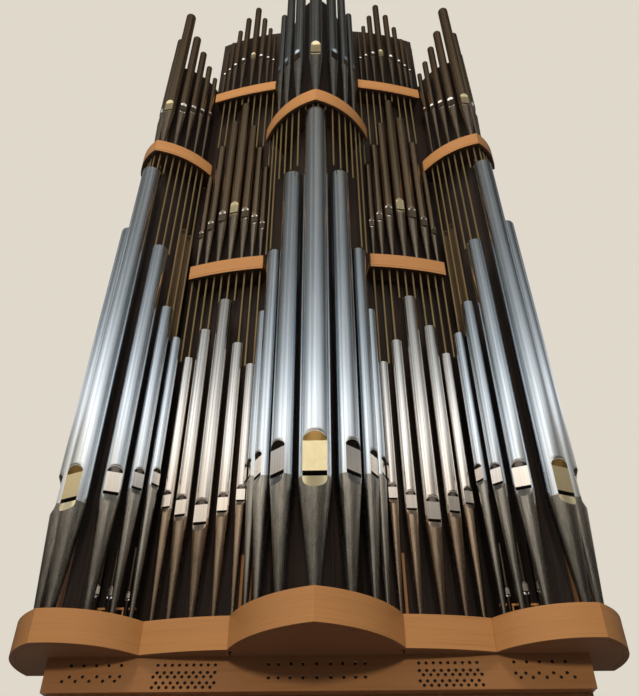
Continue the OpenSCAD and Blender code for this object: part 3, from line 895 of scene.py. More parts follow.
class PipePattern:
    """The pattern of all flue pipes: one mesh with its rows and columns, its creases and its finishes."""

    BODY, FOOT, LIP, HOOD, CHIN, INSIDE = range(6)

    def __init__(self, shape: PipeShape) -> None:
        """Models the pattern.

        Args:
            shape: the proportions that it follows.
        """
        self.shape = shape
        self.piece = self.draw()

    def draw(self) -> Piece:
        """Draws a ring down row by row, presses the slit in and marks the creases.

        Returns:
            The pattern, which is taken away when all its copies stand.
        """
        sample = Pipe(axis=Vector((0, 0)), facing=0.0, toe=-0.8, mouth=0.0, top=2.0, radius=0.1)
        piece = model(bpy.ops.mesh.primitive_circle_add, "flue_pipe_pattern", vertices=self.shape.columns,
                      radius=sample.radius, fill_type="NGON")
        mesh = piece.data
        for name in ("column", "row"):
            mesh.attributes.new(name, "INT", "POINT")
        mesh.attributes["column"].data.foreach_set("value", range(self.shape.columns))
        for last in list(Row)[:-1]:
            with Editing(piece) as edit:
                edit.choose("EDGE", lambda e: all(self.row(mesh, v) == last for v in e.vertices))
                bpy.ops.mesh.extrude_region_move()
            self.move_on(mesh, 1)
        with Editing(piece) as edit:
            edit.choose("VERT", lambda v: self.row(mesh, v.index) == Row.TOE)
            bpy.ops.mesh.edge_face_add()
        self.shape_like(piece, sample)
        self.press_slit(piece)
        with Editing(piece, whole=True):
            bpy.ops.mesh.normals_make_consistent(inside=False)
        self.crease(piece)
        self.colour(piece)
        return piece

    def press_slit(self, piece: Piece) -> None:
        """Sinks the slit between the upper and the lower lip.

        Args:
            piece: the pattern.
        """
        mesh = piece.data
        slit = {Row.LIP, Row.SILL}
        inner = range(1, self.shape.mouth_columns)
        with Editing(piece) as edit:
            edit.choose("FACE", lambda f: all(
                self.row(mesh, v) in slit and self.column(mesh, v) in inner for v in f.vertices))
            bpy.ops.mesh.extrude_region_move()
        self.move_on(mesh, len(Row))

    @staticmethod
    def move_on(mesh: Mesh, rows: int) -> None:
        """Counts the selected vertices as so many rows further on.

        Args:
            mesh: the pattern's mesh.
            rows: how many rows.
        """
        for vertex in mesh.vertices:
            if vertex.select:
                mesh.attributes["row"].data[vertex.index].value += rows

    @staticmethod
    def row(mesh: Mesh, index: int) -> int:
        """Row of a vertex."""
        return mesh.attributes["row"].data[index].value

    @staticmethod
    def column(mesh: Mesh, index: int) -> int:
        """Column of a vertex."""
        return mesh.attributes["column"].data[index].value

    def spread(self, mesh: Mesh, item: object) -> tuple[list[int], bool]:
        """Rows of an edge's or a face's vertices, and whether they all lie across the mouth."""
        inside = all(self.shape.in_mouth(self.column(mesh, v)) for v in item.vertices)
        return [self.row(mesh, v) for v in item.vertices], inside

    def shape_like(self, piece: Piece, pipe: Pipe) -> None:
        """Puts every vertex where a pipe has it, in the pipe's own frame.

        Args:
            piece: the pattern or a copy of it.
            pipe: the pipe.
        """
        mesh = piece.data
        for vertex in mesh.vertices:
            row = self.row(mesh, vertex.index)
            sunk = row >= len(Row)
            vertex.co = self.shape.point(Row(row % len(Row)), self.column(mesh, vertex.index), pipe)
            if sunk:
                vertex.co.y += self.shape.slit_depth * pipe.diameter

    def crease(self, piece: Piece) -> None:
        """Marks the sharp edges: rim, lips, slit, hood and the joint of body and foot.

        Args:
            piece: the pattern.
        """
        mesh = piece.data
        level = {Row.CORE, Row.BORE, Row.RIM, Row.CREASE, Row.LIP, Row.SILL, Row.TOE}
        across = {Row.ARCH, Row.CREASE, Row.LIP, Row.SILL, Row.CHIN}

        def sharp(edge: bpy.types.MeshEdge) -> bool:
            """True for an edge that two finishes or two flats meet at.

            Args:
                edge: an edge of the pattern.

            Returns:
                Whether it is sharp.
            """
            rows, inside = self.spread(mesh, edge)
            columns = [self.column(mesh, v) for v in edge.vertices]
            if max(rows) >= len(Row):
                return True
            if rows[0] == rows[1]:
                if Row(rows[0]) in level:
                    return inside or Row(rows[0]) not in (Row.CREASE, Row.LIP)
                return inside and Row(rows[0]) in (Row.CHIN, Row.ARCH)
            border = columns[0] == columns[1] and columns[0] in (0, self.shape.mouth_columns)
            return border and all(Row(r) in across for r in rows)

        with Editing(piece) as edit:
            edit.choose("EDGE", sharp)
            bpy.ops.mesh.mark_sharp()
            bpy.ops.mesh.select_all(action="SELECT")
            bpy.ops.mesh.faces_shade_smooth()

    def colour(self, piece: Piece) -> None:
        """Gives each face the number of its finish.

        Args:
            piece: the pattern.
        """
        mesh = piece.data
        mouth = ((self.HOOD, {Row.ARCH, Row.CREASE}), (self.LIP, {Row.CREASE, Row.LIP}),
                 (self.CHIN, {Row.SILL, Row.CHIN}))
        for face in mesh.polygons:
            rows, inside = self.spread(mesh, face)
            # Faces inside the body and in the sunk slit get the near-black finish: painted shade inside the
            # pipe.
            if max(rows) >= len(Row) or max(rows) <= Row.BORE:
                face.material_index = self.INSIDE
            else:
                outside = self.FOOT if min(rows) >= Row.SILL else self.BODY
                found = (number for number, zone in mouth if inside and zone.issuperset(rows))
                face.material_index = next(found, outside)

    def copy(self, pipe: Pipe, tone: float) -> Piece:
        """One pipe made from the pattern, standing in its place.

        Args:
            pipe: the pipe.
            tone: the share of brightness that is its own.

        Returns:
            The pipe's piece.
        """
        mesh = self.piece.data.copy()
        piece = stand(mesh, "flue_pipe")
        self.shape_like(piece, pipe)
        place = Matrix.Translation((*pipe.axis, pipe.mouth))
        mesh.transform(place @ Matrix.Rotation(pipe.facing, 4, "Z"))
        tones = mesh.attributes.new("tone", "FLOAT", "POINT")
        tones.data.foreach_set("value", [tone] * len(mesh.vertices))
        with Editing(piece, whole=True):
            bpy.ops.mesh.remove_doubles(threshold=MERGE)
        return piece


class PipeSurvey:
    """Reads from a CAD node where each of its pipes stands and what it measures."""

    LIP_DEPTHS = (0.60, 0.75)
    BODY_SHARE = 0.995
    UPRIGHT = 0.02

    def __init__(self, node: str) -> None:
        """Keeps the node's name."""
        self.node = node

    def pipes(self) -> list[Pipe]:
        """The node's pipes, from left to right.

        Returns:
            One pipe for each.
        """
        whole = copy_of(self.node, "survey")
        with Editing(whole, whole=True):
            bpy.ops.mesh.separate(type="LOOSE")
        parts = list(bpy.context.selected_objects)
        found = sorted((self.measure(part) for part in parts), key=lambda pipe: pipe.axis.x)
        for part in parts:
            bpy.data.meshes.remove(part.data)
        return found

    def measure(self, part: Piece) -> Pipe:
        """Measures one pipe.

        Args:
            part: the pipe's own mesh.

        Returns:
            The pipe.
        """
        points = [v.co.copy() for v in part.data.vertices]
        top = max(p.z for p in points)
        ring = [p for p in points if top - p.z < MERGE * 10]
        low = Vector((min(p.x for p in ring), min(p.y for p in ring)))
        high = Vector((max(p.x for p in ring), max(p.y for p in ring)))
        axis = (low + high) / 2
        radius = max((p.xy - axis).length for p in ring)
        mouth = min(p.z for p in points if (p.xy - axis).length > self.BODY_SHARE * radius)
        lips = [f for f in part.data.polygons if self.is_lip(part.data, f, axis, radius)]
        lip = max(lips, key=lambda f: f.area).normal
        return Pipe(axis, math.atan2(lip.x, -lip.y), min(p.z for p in points), mouth, top, radius)

    def is_lip(self, mesh: Mesh, face: bpy.types.MeshPolygon, axis: Vector, radius: float) -> bool:
        """True for an upright face that lies in front of the axis at a lip's depth.

        Args:
            mesh: the pipe's mesh.
            face: one of its faces.
            axis: X and Y of the pipe's axis.
            radius: its outer radius.

        Returns:
            Whether it is a lip.
        """
        normal = face.normal
        depth = normal.xy.dot(mesh.vertices[face.vertices[0]].co.xy - axis) / radius
        return abs(normal.z) < self.UPRIGHT and self.LIP_DEPTHS[0] < depth < self.LIP_DEPTHS[1]


@dataclass
class PipeRank:
    """The pipes of one CAD node, in one kind of metal."""

    node: str
    pattern: PipePattern
    kind: PipeKind
    gilded: bool
    seed: int = 0
    number_step: int = 7
    seed_step: int = 5
    tones: int = 11

    def tone(self, number: int) -> float:
        """Brightness of its own for each pipe, from 0 to 1, the same in every run."""
        return (number * self.number_step + self.seed * self.seed_step) % self.tones / (self.tones - 1)

    def build(self) -> Piece:
        """Builds the rank.

        Returns:
            The joined pipes.
        """
        pipes = PipeSurvey(self.node).pipes()
        longest = max(pipes, key=lambda pipe: pipe.top)
        made = []
        for number, pipe in enumerate(pipes):
            made.append(self.pattern.copy(pipe, self.tone(number)))
            plain = self.kind.value
            dress(made[-1], *(plain.gilded() if self.gilded and pipe is longest else plain).finishes())
        rank = join(made, self.node.replace("pipes", "flues"))
        return finish_piece(rank, [self.node])


@dataclass
class Board:
    """A wooden piece of the frame with eased edges and a veneer."""

    node: str
    finish: Finish
    slot: Slot
    ease: float = EASE
    # under: darker finish painted as shade on the faces that look down or back.
    under: Optional[Finish] = None
    grooves: tuple[tuple[int, float], ...] = ()
    groove_width: float = 0.004
    groove_depth: float = 0.002
    downward: float = 0.5
    backward: float = 0.4

    def build(self) -> Piece:
        """Builds the piece from the node's own shape.

        Returns:
            The finished board.
        """
        piece = copy_of(self.node)
        bevel(piece, self.ease)
        dress(piece, self.finish)
        for axis, place in self.grooves:
            groove(piece, axis, place, self.groove_width, self.groove_depth)
        if self.under is not None:
            self.dress_under(piece)
        smooth(piece)
        return finish_piece(piece, [self.node])

    def dress_under(self, piece: Piece) -> None:
        """Gives the faces that look down or back the darker finish of painted underside shade.

        Args:
            piece: the board.
        """
        dress(piece, self.under)
        for face in piece.data.polygons:
            if -face.normal.z > self.downward or face.normal.y > self.backward:
                face.material_index = 1


@dataclass
class Frieze:
    """The frieze board under the impost with its rows of small sound holes."""

    node: str = "frieze_board"
    hole_radius: float = 0.010
    rim_radius: float = 0.0135
    rim_depth: float = 0.0025
    bore_depth: float = 0.018
    play: float = 0.01
    outer: tuple[float, ...] = (1.555, 1.472, 1.382, 1.300, 1.238)
    outer_shifted: tuple[float, ...] = (1.598, 1.514, 1.427, 1.341, 1.266)
    centre: tuple[float, ...] = (0.0, 0.087, 0.168, 0.242, 0.303)
    cad_centre: tuple[float, ...] = (0.0, 0.162)
    cad_level: float = 2.949
    outer_levels: tuple[float, float] = (2.883, 2.857)
    centre_level: float = 2.868
    middle_start: float = 0.641
    middle_step: float = 0.0455
    middle_count: int = 9
    middle_rows: tuple[tuple[float, float], ...] = ((2.948, 0.0), (2.903, 0.0), (2.878, 0.5), (2.842, 0.0),
                                                    (2.816, 0.5))
    reach: float = 1.3
    sideways: float = 0.3

    def holes(self) -> list[tuple[float, float]]:
        """X and Z of every hole that the frame leaves out.

        Returns:
            The holes on both sides of the middle.
        """
        rows = zip(self.outer_levels, (self.outer, self.outer_shifted))
        half = [(x, level) for level, row in rows for x in row]
        half += [(x, self.centre_level) for x in self.centre]
        half += [(x, self.cad_level) for x in self.centre
                 if min(abs(x - own) for own in self.cad_centre) > self.hole_radius]
        half += [(self.middle_start + (number + shift) * self.middle_step, level)
                 for level, shift in self.middle_rows for number in range(self.middle_count)]
        return sorted({(side * x + 0.0, z) for x, z in half for side in (-1, 1)})

    def cutter(self, front: float) -> Piece:
        """Models the shape of one hole: a bore with a flared rim.

        Args:
            front: Y of the board's front.

        Returns:
            The cutter, at X and Z of 0.
        """
        cutter = disc("hole_pattern", self.hole_radius, self.bore_depth, (0, front + self.bore_depth / 2, 0))
        with Editing(cutter) as edit:
            edit.choose("FACE", lambda f: f.normal.y < -ALONG)
            bpy.ops.transform.translate(value=(0, self.rim_depth, 0))
            for drop, share in ((self.rim_depth, self.rim_radius / self.hole_radius), (self.play, 1.0)):
                bpy.ops.mesh.extrude_region_move(TRANSFORM_OT_translate={"value": (0, -drop, 0)})
                bpy.ops.transform.resize(value=(share, 1, share), center_override=(0, front, 0))
        dress(cutter, FRIEZE_MAPLE, HOLLOW_SHADE)
        # The bore behind the rim gets the near-black finish: painted shade inside the hole.
        for face in cutter.data.polygons:
            face.material_index = int(face.center.y > front + self.rim_depth)
        return cutter

    def build(self) -> Piece:
        """Builds the board and cuts the holes.

        Returns:
            The finished frieze.
        """
        piece = copy_of(self.node)
        bevel(piece, EASE)
        dress(piece, FRIEZE_MAPLE, HOLLOW_SHADE)
        self.darken_bores(piece)
        pattern = self.cutter(min(v.co.y for v in piece.data.vertices))
        cutters = []
        for x, z in self.holes():
            mesh = pattern.data.copy()
            mesh.transform(Matrix.Translation((x, 0, z)))
            cutters.append(stand(mesh, "hole_cutter"))
        tool = join(cutters, "hole_cutters")
        modify(piece, "BOOLEAN", object=tool, operation="DIFFERENCE", solver="EXACT")
        for used in (pattern, tool):
            bpy.data.meshes.remove(used.data)
        smooth(piece)
        return finish_piece(piece, [self.node])

    def darken_bores(self, piece: Piece) -> None:
        """Gives the walls of the frame's own holes the near-black finish of painted shade.

        Args:
            piece: the frieze board.
        """
        marks = [(side * x, self.cad_level) for x in self.outer + self.cad_centre for side in (-1, 1)]
        for face in piece.data.polygons:
            near = min(math.hypot(face.center.x - x, face.center.z - z) for x, z in marks)
            if near < self.reach * self.hole_radius and abs(face.normal.y) < self.sideways:
                face.material_index = 1


@dataclass
class Rods:
    """The gilded rods of one CAD node."""

    node: str
    rounding: float = 50.0

    def build(self) -> Piece:
        """Builds the rods with rounded shading.

        Returns:
            The finished rods.
        """
        piece = copy_of(self.node)
        smooth(piece, self.rounding)
        dress(piece, GILT)
        return finish_piece(piece, [self.node])


@dataclass
class InnerCase:
    """The near-black walls and roofs behind the front, dressed as the frame has them."""

    stained: tuple[str, ...] = ("bow_wall", "centre_roof", *both("flat_wall", "tower_wall", "tower_roof"))
    floor: str = "impost_floor"

    def dress(self) -> None:
        """Gives each node its finish."""
        for name in (*self.stained, self.floor):
            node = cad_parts[name]
            node.data.materials.clear()
            dress(node, CHEST_FLOOR_AND_UNDERSIDE_SHADE if name == self.floor else NEAR_BLACK)


@dataclass
class LowerCase:
    """Front, sides, back and upper sides of the case."""

    wide: tuple[str, ...] = ("base_front", "back_wall")
    sides: tuple[str, ...] = both("base_side", "case_side")
    wide_joints: tuple[tuple[int, float], ...] = ((0, -1.02), (0, -0.34), (0, 0.34), (0, 1.02))
    side_joints: tuple[tuple[int, float], ...] = ((1, -0.02), (1, 0.44))
    joint_width: float = 0.008

    def boards(self, nodes: Sequence[str], joints: tuple[tuple[int, float], ...]) -> list[Piece]:
        """Builds boards with upright joints."""
        return [Board(node, PANEL_MAPLE, Slot.MAPLE_PANEL, grooves=joints,
                      groove_width=self.joint_width).build() for node in nodes]

    def build(self) -> list[Piece]:
        """Builds the case's boards and the frieze."""
        return [*self.boards(self.wide, self.wide_joints), Frieze().build(),
                *self.boards(self.sides, self.side_joints)]


@dataclass
class BentBoards:
    """The curved rails of the impost and the curved shelves."""

    rails: tuple[str, ...] = ("impost_rail_centre", *both("impost_rail", "tower_rail"))
    shelves: tuple[tuple[float, tuple[str, ...]], ...] = (
        (8.370, ("centre_shelf",)), (6.427, both("middle_shelf")), (9.476, both("top_shelf")),
        (8.064, both("tower_shelf")))
    edging: float = 0.024

    def build(self) -> list[Piece]:
        """Builds the boards, each shelf with a groove above its lower edge.

        Returns:
            The finished boards.
        """
        # The rails and shelves take a darker finish on the faces that look down or back: painted shade.
        made = [Board(name, BENT_MAPLE, Slot.MAPLE_BENT, under=CHEST_FLOOR_AND_UNDERSIDE_SHADE).build() for name in self.rails]
        return made + [Board(name, BENT_MAPLE, Slot.MAPLE_BENT, under=UNDERSIDE_SHADE_WOOD,
                             grooves=((2, bottom + self.edging),)).build()
                       for bottom, names in self.shelves for name in names]


@dataclass
class FrontPipes:
    """All ranks of front pipes."""

    pattern: PipePattern = field(default_factory=lambda: PipePattern(PipeShape()))

    def build(self) -> list[Piece]:
        """Builds the ranks.

        Returns:
            The joined pipes of each rank.
        """
        plan = [("centre_pipes", PipeKind.BLUISH, True), ("upper_centre_pipes", PipeKind.STEEL, True)]
        for rank, kind, gilded in (("tower", PipeKind.BLUISH, True), ("flat", PipeKind.WARM, False),
                                   ("middle", PipeKind.BROWN, True), ("top", PipeKind.BROWN, True),
                                   ("upper_tower", PipeKind.BROWN, True)):
            plan += [(node, kind, gilded) for node in both(rank + "_pipes")]
        made = [PipeRank(node, self.pattern, kind, gilded, seed).build()
                for seed, (node, kind, gilded) in enumerate(plan)]
        for side in Side:
            made += InnerWork(side, self.pattern).build()
        bpy.data.meshes.remove(self.pattern.piece.data)
        return made


@dataclass
class InnerWork:
    """What shows between the pipes of one tower: a stile, an inner rail, small flues and wooden pipes."""

    side: Side
    pattern: PipePattern
    floor: float = 3.088
    ease: float = 0.0015
    stile: tuple[float, ...] = (1.721, 1.768, -0.392, -0.372, 8.04)
    stile_joint: float = 0.012
    rail: tuple[float, ...] = (1.215, 1.500, -0.370, -0.352, 3.314, 3.330)
    rail_posts: tuple[float, ...] = (1.300, 1.455)
    posts: tuple[tuple[Side, float], ...] = ((Side.LEFT, 0.520), (Side.LEFT, 0.458), (Side.RIGHT, 0.600))
    post_width: float = 0.020
    post_front: float = -0.35
    post_top: float = 3.70
    flues: tuple[Triple, ...] = ((1.490, 3.404, 0.025), (1.397, 3.392, 0.025),
                                                     (1.275, 3.376, 0.018))
    flue_depth: float = -0.385
    flue_top: float = 3.74
    wooden_pipes: tuple[tuple[float, float], ...] = ((1.372, 7.215), (1.302, 7.110))
    wooden_depth: float = -0.265
    wooden_width: float = 0.052
    wooden_foot: float = 5.75
    cap_over: float = 0.003
    cap_height: float = 0.02
    hole_radius: float = 0.017
    ring_over: float = 0.35
    ring_depth: float = 0.006
    ring_sink: float = 0.005

    def bar(self, low: Sequence[float], high: Sequence[float], finish: Finish) -> Piece:
        """Models a planed bar with eased edges between two corners.

        Args:
            low: X, Y and Z of one corner on the right-hand side of the organ.
            high: the opposite corner.
            finish: the bar's finish.

        Returns:
            The bar, on this object's side of the organ.
        """
        x, y, z = ((a + b) / 2 for a, b in zip(low, high))
        piece = model(bpy.ops.mesh.primitive_cube_add, "bar", size=1, location=(self.side.value * x, y, z),
                      scale=[b - a for a, b in zip(low, high)])
        bevel(piece, self.ease)
        dress(piece, finish)
        return piece

    def place(self, pieces: Sequence[Piece], name: str, slot: Slot) -> Piece:
        """Puts pieces on the organ as one, with this side's ending on its name."""
        return finish_piece(join(pieces, name + self.side.suffix))

    def frame_bars(self) -> Piece:
        """Builds the inner rail on its posts and the posts between the feet.

        Returns:
            The joined bars.
        """
        left, right, back, front, low, high = self.rail
        bars = [self.bar((left, back, low), (right, front, high), BENT_MAPLE)]
        half = self.post_width / 2
        bars += [self.bar((x - half / 2, back, self.floor), (x + half / 2, front, low), BENT_MAPLE)
                 for x in self.rail_posts]
        bars += [self.bar((x - half, self.post_front, self.floor),
                          (x + half, self.post_front + self.post_width, self.post_top), PANEL_MAPLE)
                 for side, x in self.posts if side is self.side]
        rail = self.place(bars, "inner_rail", Slot.MAPLE_BENT)
        smooth(rail)
        return rail

    def stile_bar(self) -> Piece:
        """Builds the stile that closes the case behind the corner pipe.

        Returns:
            The stile.
        """
        near, far, front, back, top = self.stile
        piece = self.bar((near, front, self.floor), (far, back, top), PANEL_MAPLE)
        groove(piece, 0, self.side.value * (near + self.stile_joint))
        smooth(piece)
        return self.place([piece], "case_stile", Slot.MAPLE_PANEL)

    def small_flues(self) -> Piece:
        """Builds the small flue pipes that stand behind the feet.

        Returns:
            The joined flues.
        """
        made = []
        for number, (x, mouth, radius) in enumerate(self.flues):
            axis = Vector((self.side.value * x, self.flue_depth))
            pipe = Pipe(axis, 0.0, self.floor, mouth, self.flue_top, radius)
            made.append(self.pattern.copy(pipe, number / len(self.flues)))
            dress(made[-1], *PipeFinish(INNER_TIN, INNER_TIN, PAINTED_HIGHLIGHT_METAL, HOOD_DARK_REFLECTION, PAINTED_HIGHLIGHT_METAL).finishes())
        return self.place(made, "inner_flues", Slot.PIPE_METAL)

    def wooden_pipe(self, x: float, level: float) -> Piece:
        """Builds one square wooden pipe with a cap and a round hole near its top, a shallow pocket whose floor
        is painted shade.

        Args:
            x: distance of its middle from the middle of the organ.
            level: height of the hole.

        Returns:
            The pipe.
        """
        half, over = self.wooden_width / 2, self.cap_over
        front, back, top = self.wooden_depth, self.wooden_depth + self.wooden_width, level + half
        body = self.bar((x - half, front, self.wooden_foot), (x + half, back, top), RAW_WOOD)
        cap = self.bar((x - half - over, front - over, top), (x + half + over, back, top + self.cap_height),
                       RAW_WOOD)
        middle = Vector((self.side.value * x, front - self.ring_depth / 2, level))
        ring = disc("ring", (1 + self.ring_over) * self.hole_radius, self.ring_depth, middle)
        dress(ring, RAW_WOOD, HOLLOW_SHADE)
        with Editing(ring) as edit:
            edit.choose("FACE", lambda f: f.normal.y < -ALONG)
            bpy.ops.mesh.inset(thickness=self.ring_over * self.hole_radius)
            bpy.ops.mesh.extrude_region_move(TRANSFORM_OT_translate={"value": (0, self.ring_sink, 0)})
        # The pocket's floor gets the near-black finish: painted shade of the hole.
        for face in ring.data.polygons:
            inside = (face.center - middle).xz.length < (1 + self.ring_over / 2) * self.hole_radius
            face.material_index = int(inside and face.center.y > front - ALONG * self.ring_depth)
        return join([body, cap, ring], "wooden_pipe")

    def build(self) -> list[Piece]:
        """Builds the inner work.

        Returns:
            The finished pieces.
        """
        wooden = self.place([self.wooden_pipe(x, level) for x, level in self.wooden_pipes],
                            "inner_wooden_pipes", Slot.MAPLE_PANEL)
        smooth(wooden)
        return [self.frame_bars(), self.stile_bar(), self.small_flues(), wooden]


@dataclass(frozen=True)
class Glow(Finish):
    """Glow of the reflector that polished metal mirrors: bands by height, broken up by bearing."""

    name: str
    bands: tuple[tuple[float, float, Colour], ...] = (
        (0.0, 0.10, (1.0, 0.92, 0.82)), (5.0, 0.19, (1.0, 0.96, 0.90)), (7.3, 0.23, (1.0, 0.95, 0.88)),
        (8.3, 1.20, (1.0, 0.96, 0.90)), (10.5, 1.75, (1.0, 0.99, 0.97)), (11.9, 1.78, (0.98, 0.99, 1.0)),
        (13.8, 0.62, (0.90, 0.96, 1.0)), (17.0, 0.27, (0.96, 1.0, 1.0)), (24.0, 0.23, (1.0, 0.95, 0.85)),
        (32.0, 0.13, (1.0, 0.85, 0.68)), (60.0, 0.10, (1.0, 0.80, 0.60)))
    bearings: tuple[tuple[float, float], ...] = (
        (-180, 0.6), (-150, 0.9), (-125, 0.45), (-100, 0.6), (-80, 0.3), (-65, 1.0), (30, 1.0), (55, 0.4),
        (80, 0.15), (100, 0.5), (145, 0.85), (180, 0.6))
    high_tint: Colour = (1.0, 1.0, 1.0)
    low_bearings: tuple[tuple[float, float], ...] = (
        (-180, 0.4), (-90, 0.2), (-50, 0.6), (0, 0.8), (25, 0.25), (60, 0.15), (90, 0.25), (180, 0.4))
    low_tint: Colour = (1.0, 0.92, 0.82)
    join_heights: tuple[float, float] = (10.85, 11.3)
    spots: tuple[tuple[float, float, float, float], ...] = (
        (-104.0, 13.3, 3.2, 0.8), (112.0, 12.6, 1.4, 0.8), (-97.0, 16.5, 2.4, 3.6), (93.0, 16.0, 2.2, 3.4))
    spot_turn: float = 5.0
    streaks: Triple = (0.3, 0.3, 0.03)
    streak_light: tuple[float, float] = (0.45, 1.45)

    def graph(self, graph: Graph) -> None:
        """Draws the bands, their share by bearing, streaks and the distant lamps.

        Args:
            graph: the graph to draw in.
        """
        spot = graph.add("SeparateXYZ", {"Vector": graph.add("TexCoord").outputs["Object"]}).outputs
        top = self.bands[-1][0]
        height = graph.span(spot["Z"], 0.0, 1.0, 0.0, top)
        tone = graph.ramp(height, [(level / top, colour) for level, _, colour in self.bands])
        power = graph.ramp(height, [(level / top, (light / 2,) * 3) for level, light, _ in self.bands])
        turn = graph.math("ARCTAN2", spot["X"], graph.math("MULTIPLY", spot["Y"], -1.0))
        share = graph.span(turn, 0.0, 1.0, -math.pi, math.pi)
        high, low = (graph.ramp(share, [(angle / 360 + 0.5, tuple(level * c for c in tint))
                                        for angle, level in stops])
                     for stops, tint in ((self.bearings, self.high_tint), (self.low_bearings, self.low_tint)))
        streaks = graph.span(graph.noise(self.streaks, 4, 0.6), *self.streak_light, *NOISE_RANGE)
        broken = graph.scaled(high, streaks)
        side = graph.mix(graph.span(spot["Z"], 0.0, 1.0, *self.join_heights), low, broken)
        colour = graph.add("VectorMath", operation="MULTIPLY")
        for source, socket in zip((tone, side), colour.inputs):
            graph.link(source, socket)
        light = graph.math("MULTIPLY", power, 2.0)
        for place in self.spots:
            light = graph.math("ADD", light, self.lamp(graph, turn, spot["Z"], *place))
        graph.end(graph.add("Emission", {"Color": colour.outputs[0], "Strength": light}), "OutputMaterial")

    def lamp(self, graph: Graph, turn: Socket, height: Socket, angle: float,
             level: float, strength: float, reach: float) -> Socket:
        """Light of one distant lamp, brightest at its middle.

        Args:
            graph: the graph to draw in.
            turn: bearing of the place, in radians.
            height: height of the place.
            angle: bearing of the lamp, in degrees.
            level: height of the lamp.
            strength: light at its middle.
            reach: height above and below its middle that it lights.

        Returns:
            The lamp's light at the place.
        """
        across = graph.math("ABSOLUTE", graph.math("SUBTRACT", turn, math.radians(angle)))
        up = graph.math("ABSOLUTE", graph.math("SUBTRACT", height, level))
        near = graph.math("MULTIPLY", graph.span(across, 1.0, 0.0, 0.0, math.radians(self.spot_turn)),
                          graph.span(up, 1.0, 0.0, 0.0, reach))
        return graph.math("MULTIPLY", near, strength)


@dataclass(frozen=True)
class Paper(Finish):
    """Pale studio floor."""

    name: str
    tone: Colour = (0.84, 0.81, 0.77)
    bounce: float = 0.14
    fleck: float = 0.97
    rough: float = 0.9

    def graph(self, graph: Graph) -> None:
        """Draws an even matt floor with a trace of texture, which throws little light back up."""
        pale = graph.mix(graph.noise((3, 3, 3), 3), self.tone, tuple(self.fleck * c for c in self.tone))
        graph.surface(graph.mix(graph.seen(), tuple(self.bounce * c for c in self.tone), pale), self.rough)


@dataclass(frozen=True)
class Lamp:
    """Square soft lamp that polished surfaces don't mirror."""

    name: str
    place: Triple
    aim: Triple
    size: float
    watts: float

    def hang(self) -> None:
        """Hangs the lamp in its place, turned to its aim."""
        data = bpy.data.lights.new(self.name, "AREA")
        data.size = self.size
        data.energy = self.watts
        lamp = stand(data, self.name)
        lamp.location = self.place
        lamp.rotation_euler = (Vector(self.aim) - Vector(self.place)).to_track_quat("-Z", "Y").to_euler()
        lamp.visible_glossy = False


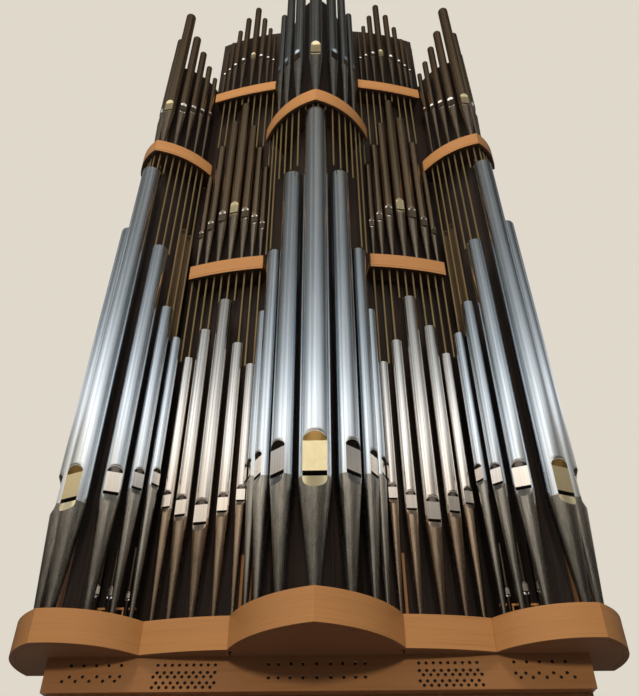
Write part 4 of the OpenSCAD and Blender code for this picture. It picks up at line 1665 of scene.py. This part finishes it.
@dataclass
class Studio:
    """Floor, backdrop colour, soft lamps and the reflector for the polished metal."""

    floor_size: float = 120.0
    sky: Colour = (0.74, 0.69, 0.60)
    shade: float = 0.44
    lamps: tuple[Lamp, ...] = (Lamp("key_lamp", (-2.5, -7.0, 15.5), (0, 0, 4.0), 2.6, 1100.0),
                               Lamp("fill_lamp", (0.4, -13.0, 6.2), (0, 0, 4.5), 1.2, 900.0),
                               Lamp("back_lamp", (2.0, 13.0, 12.0), (0, 0, 6.0), 8.0, 500.0))
    reflector_radius: float = 12.0
    reflector_sides: int = 96
    reflector_glow: Glow = Glow("reflector_glow")

    def build(self) -> None:
        """Builds the studio."""
        self.floor()
        self.world()
        self.reflector()
        for lamp in self.lamps:
            lamp.hang()

    def floor(self) -> None:
        """Lays the floor."""
        plane = model(bpy.ops.mesh.primitive_plane_add, "studio_floor", size=self.floor_size)
        dress(plane, Paper("studio_paper"))

    def world(self) -> None:
        """Gives the world a pale tone to look at and a dimmer one to light with."""
        world = bpy.data.worlds.new("studio_world")
        world.use_nodes = True
        graph = Graph(world.node_tree)
        tone = graph.mix(graph.seen(), tuple(self.shade * c for c in self.sky), self.sky)
        graph.end(graph.add("Background", {"Color": tone}), "OutputWorld")
        bpy.context.scene.world = world

    def reflector(self) -> None:
        """Stands a tall ring round the organ that only polished surfaces see."""
        ring = model(bpy.ops.mesh.primitive_circle_add, "studio_reflector", vertices=self.reflector_sides,
                     radius=self.reflector_radius, fill_type="NOTHING")
        with Editing(ring, whole=True):
            bpy.ops.mesh.extrude_region_move(
                TRANSFORM_OT_translate={"value": (0.0, 0.0, self.reflector_glow.bands[-1][0])})
        dress(ring, self.reflector_glow)
        ring.visible_camera = ring.visible_diffuse = ring.visible_shadow = ring.visible_transmission = False


@dataclass
class Camera:
    """Hand-held camera at eye height under the organ, tilted up to its middle."""

    place: Vector = field(default_factory=lambda: Vector((0.122, -5.173, 1.6)))
    yaw: float = math.radians(-1.1977)
    pitch: float = math.radians(39.4759)
    roll: float = math.radians(-0.1654)
    long_side: float = 36.0
    lens: float = 37.24
    far: float = 300.0

    def build(self) -> None:
        """Sets the camera up."""
        data = bpy.data.cameras.new("eye_height_camera")
        data.sensor_width = self.long_side
        data.lens = self.lens
        data.clip_end = self.far
        flat = Vector((math.sin(self.yaw), math.cos(self.yaw), 0))
        ahead = math.cos(self.pitch) * flat + math.sin(self.pitch) * Vector((0, 0, 1))
        right = Vector((flat.y, -flat.x, 0))
        up = right.cross(ahead)
        turned = math.cos(self.roll) * right + math.sin(self.roll) * up
        level = math.cos(self.roll) * up - math.sin(self.roll) * right
        camera = stand(data, "eye_height_camera")
        axes = Matrix((turned, level, -ahead)).transposed()
        camera.matrix_world = Matrix.Translation(self.place) @ axes.to_4x4()
        bpy.context.scene.camera = camera
        bpy.context.scene.view_settings.view_transform = "Standard"


def main() -> None:
    """Builds the organ's finished pieces and the studio in order."""
    logging.basicConfig(level=logging.INFO, format="%(name)s: %(message)s")
    Camera().build()
    InnerCase().dress()
    LowerCase().build()
    BentBoards().build()
    for rods in ("centre_rods", *both("flat_rods", "tower_rods")):
        Rods(rods).build()
    FrontPipes().build()
    Studio().build()


if __name__ == "__main__":
    main()
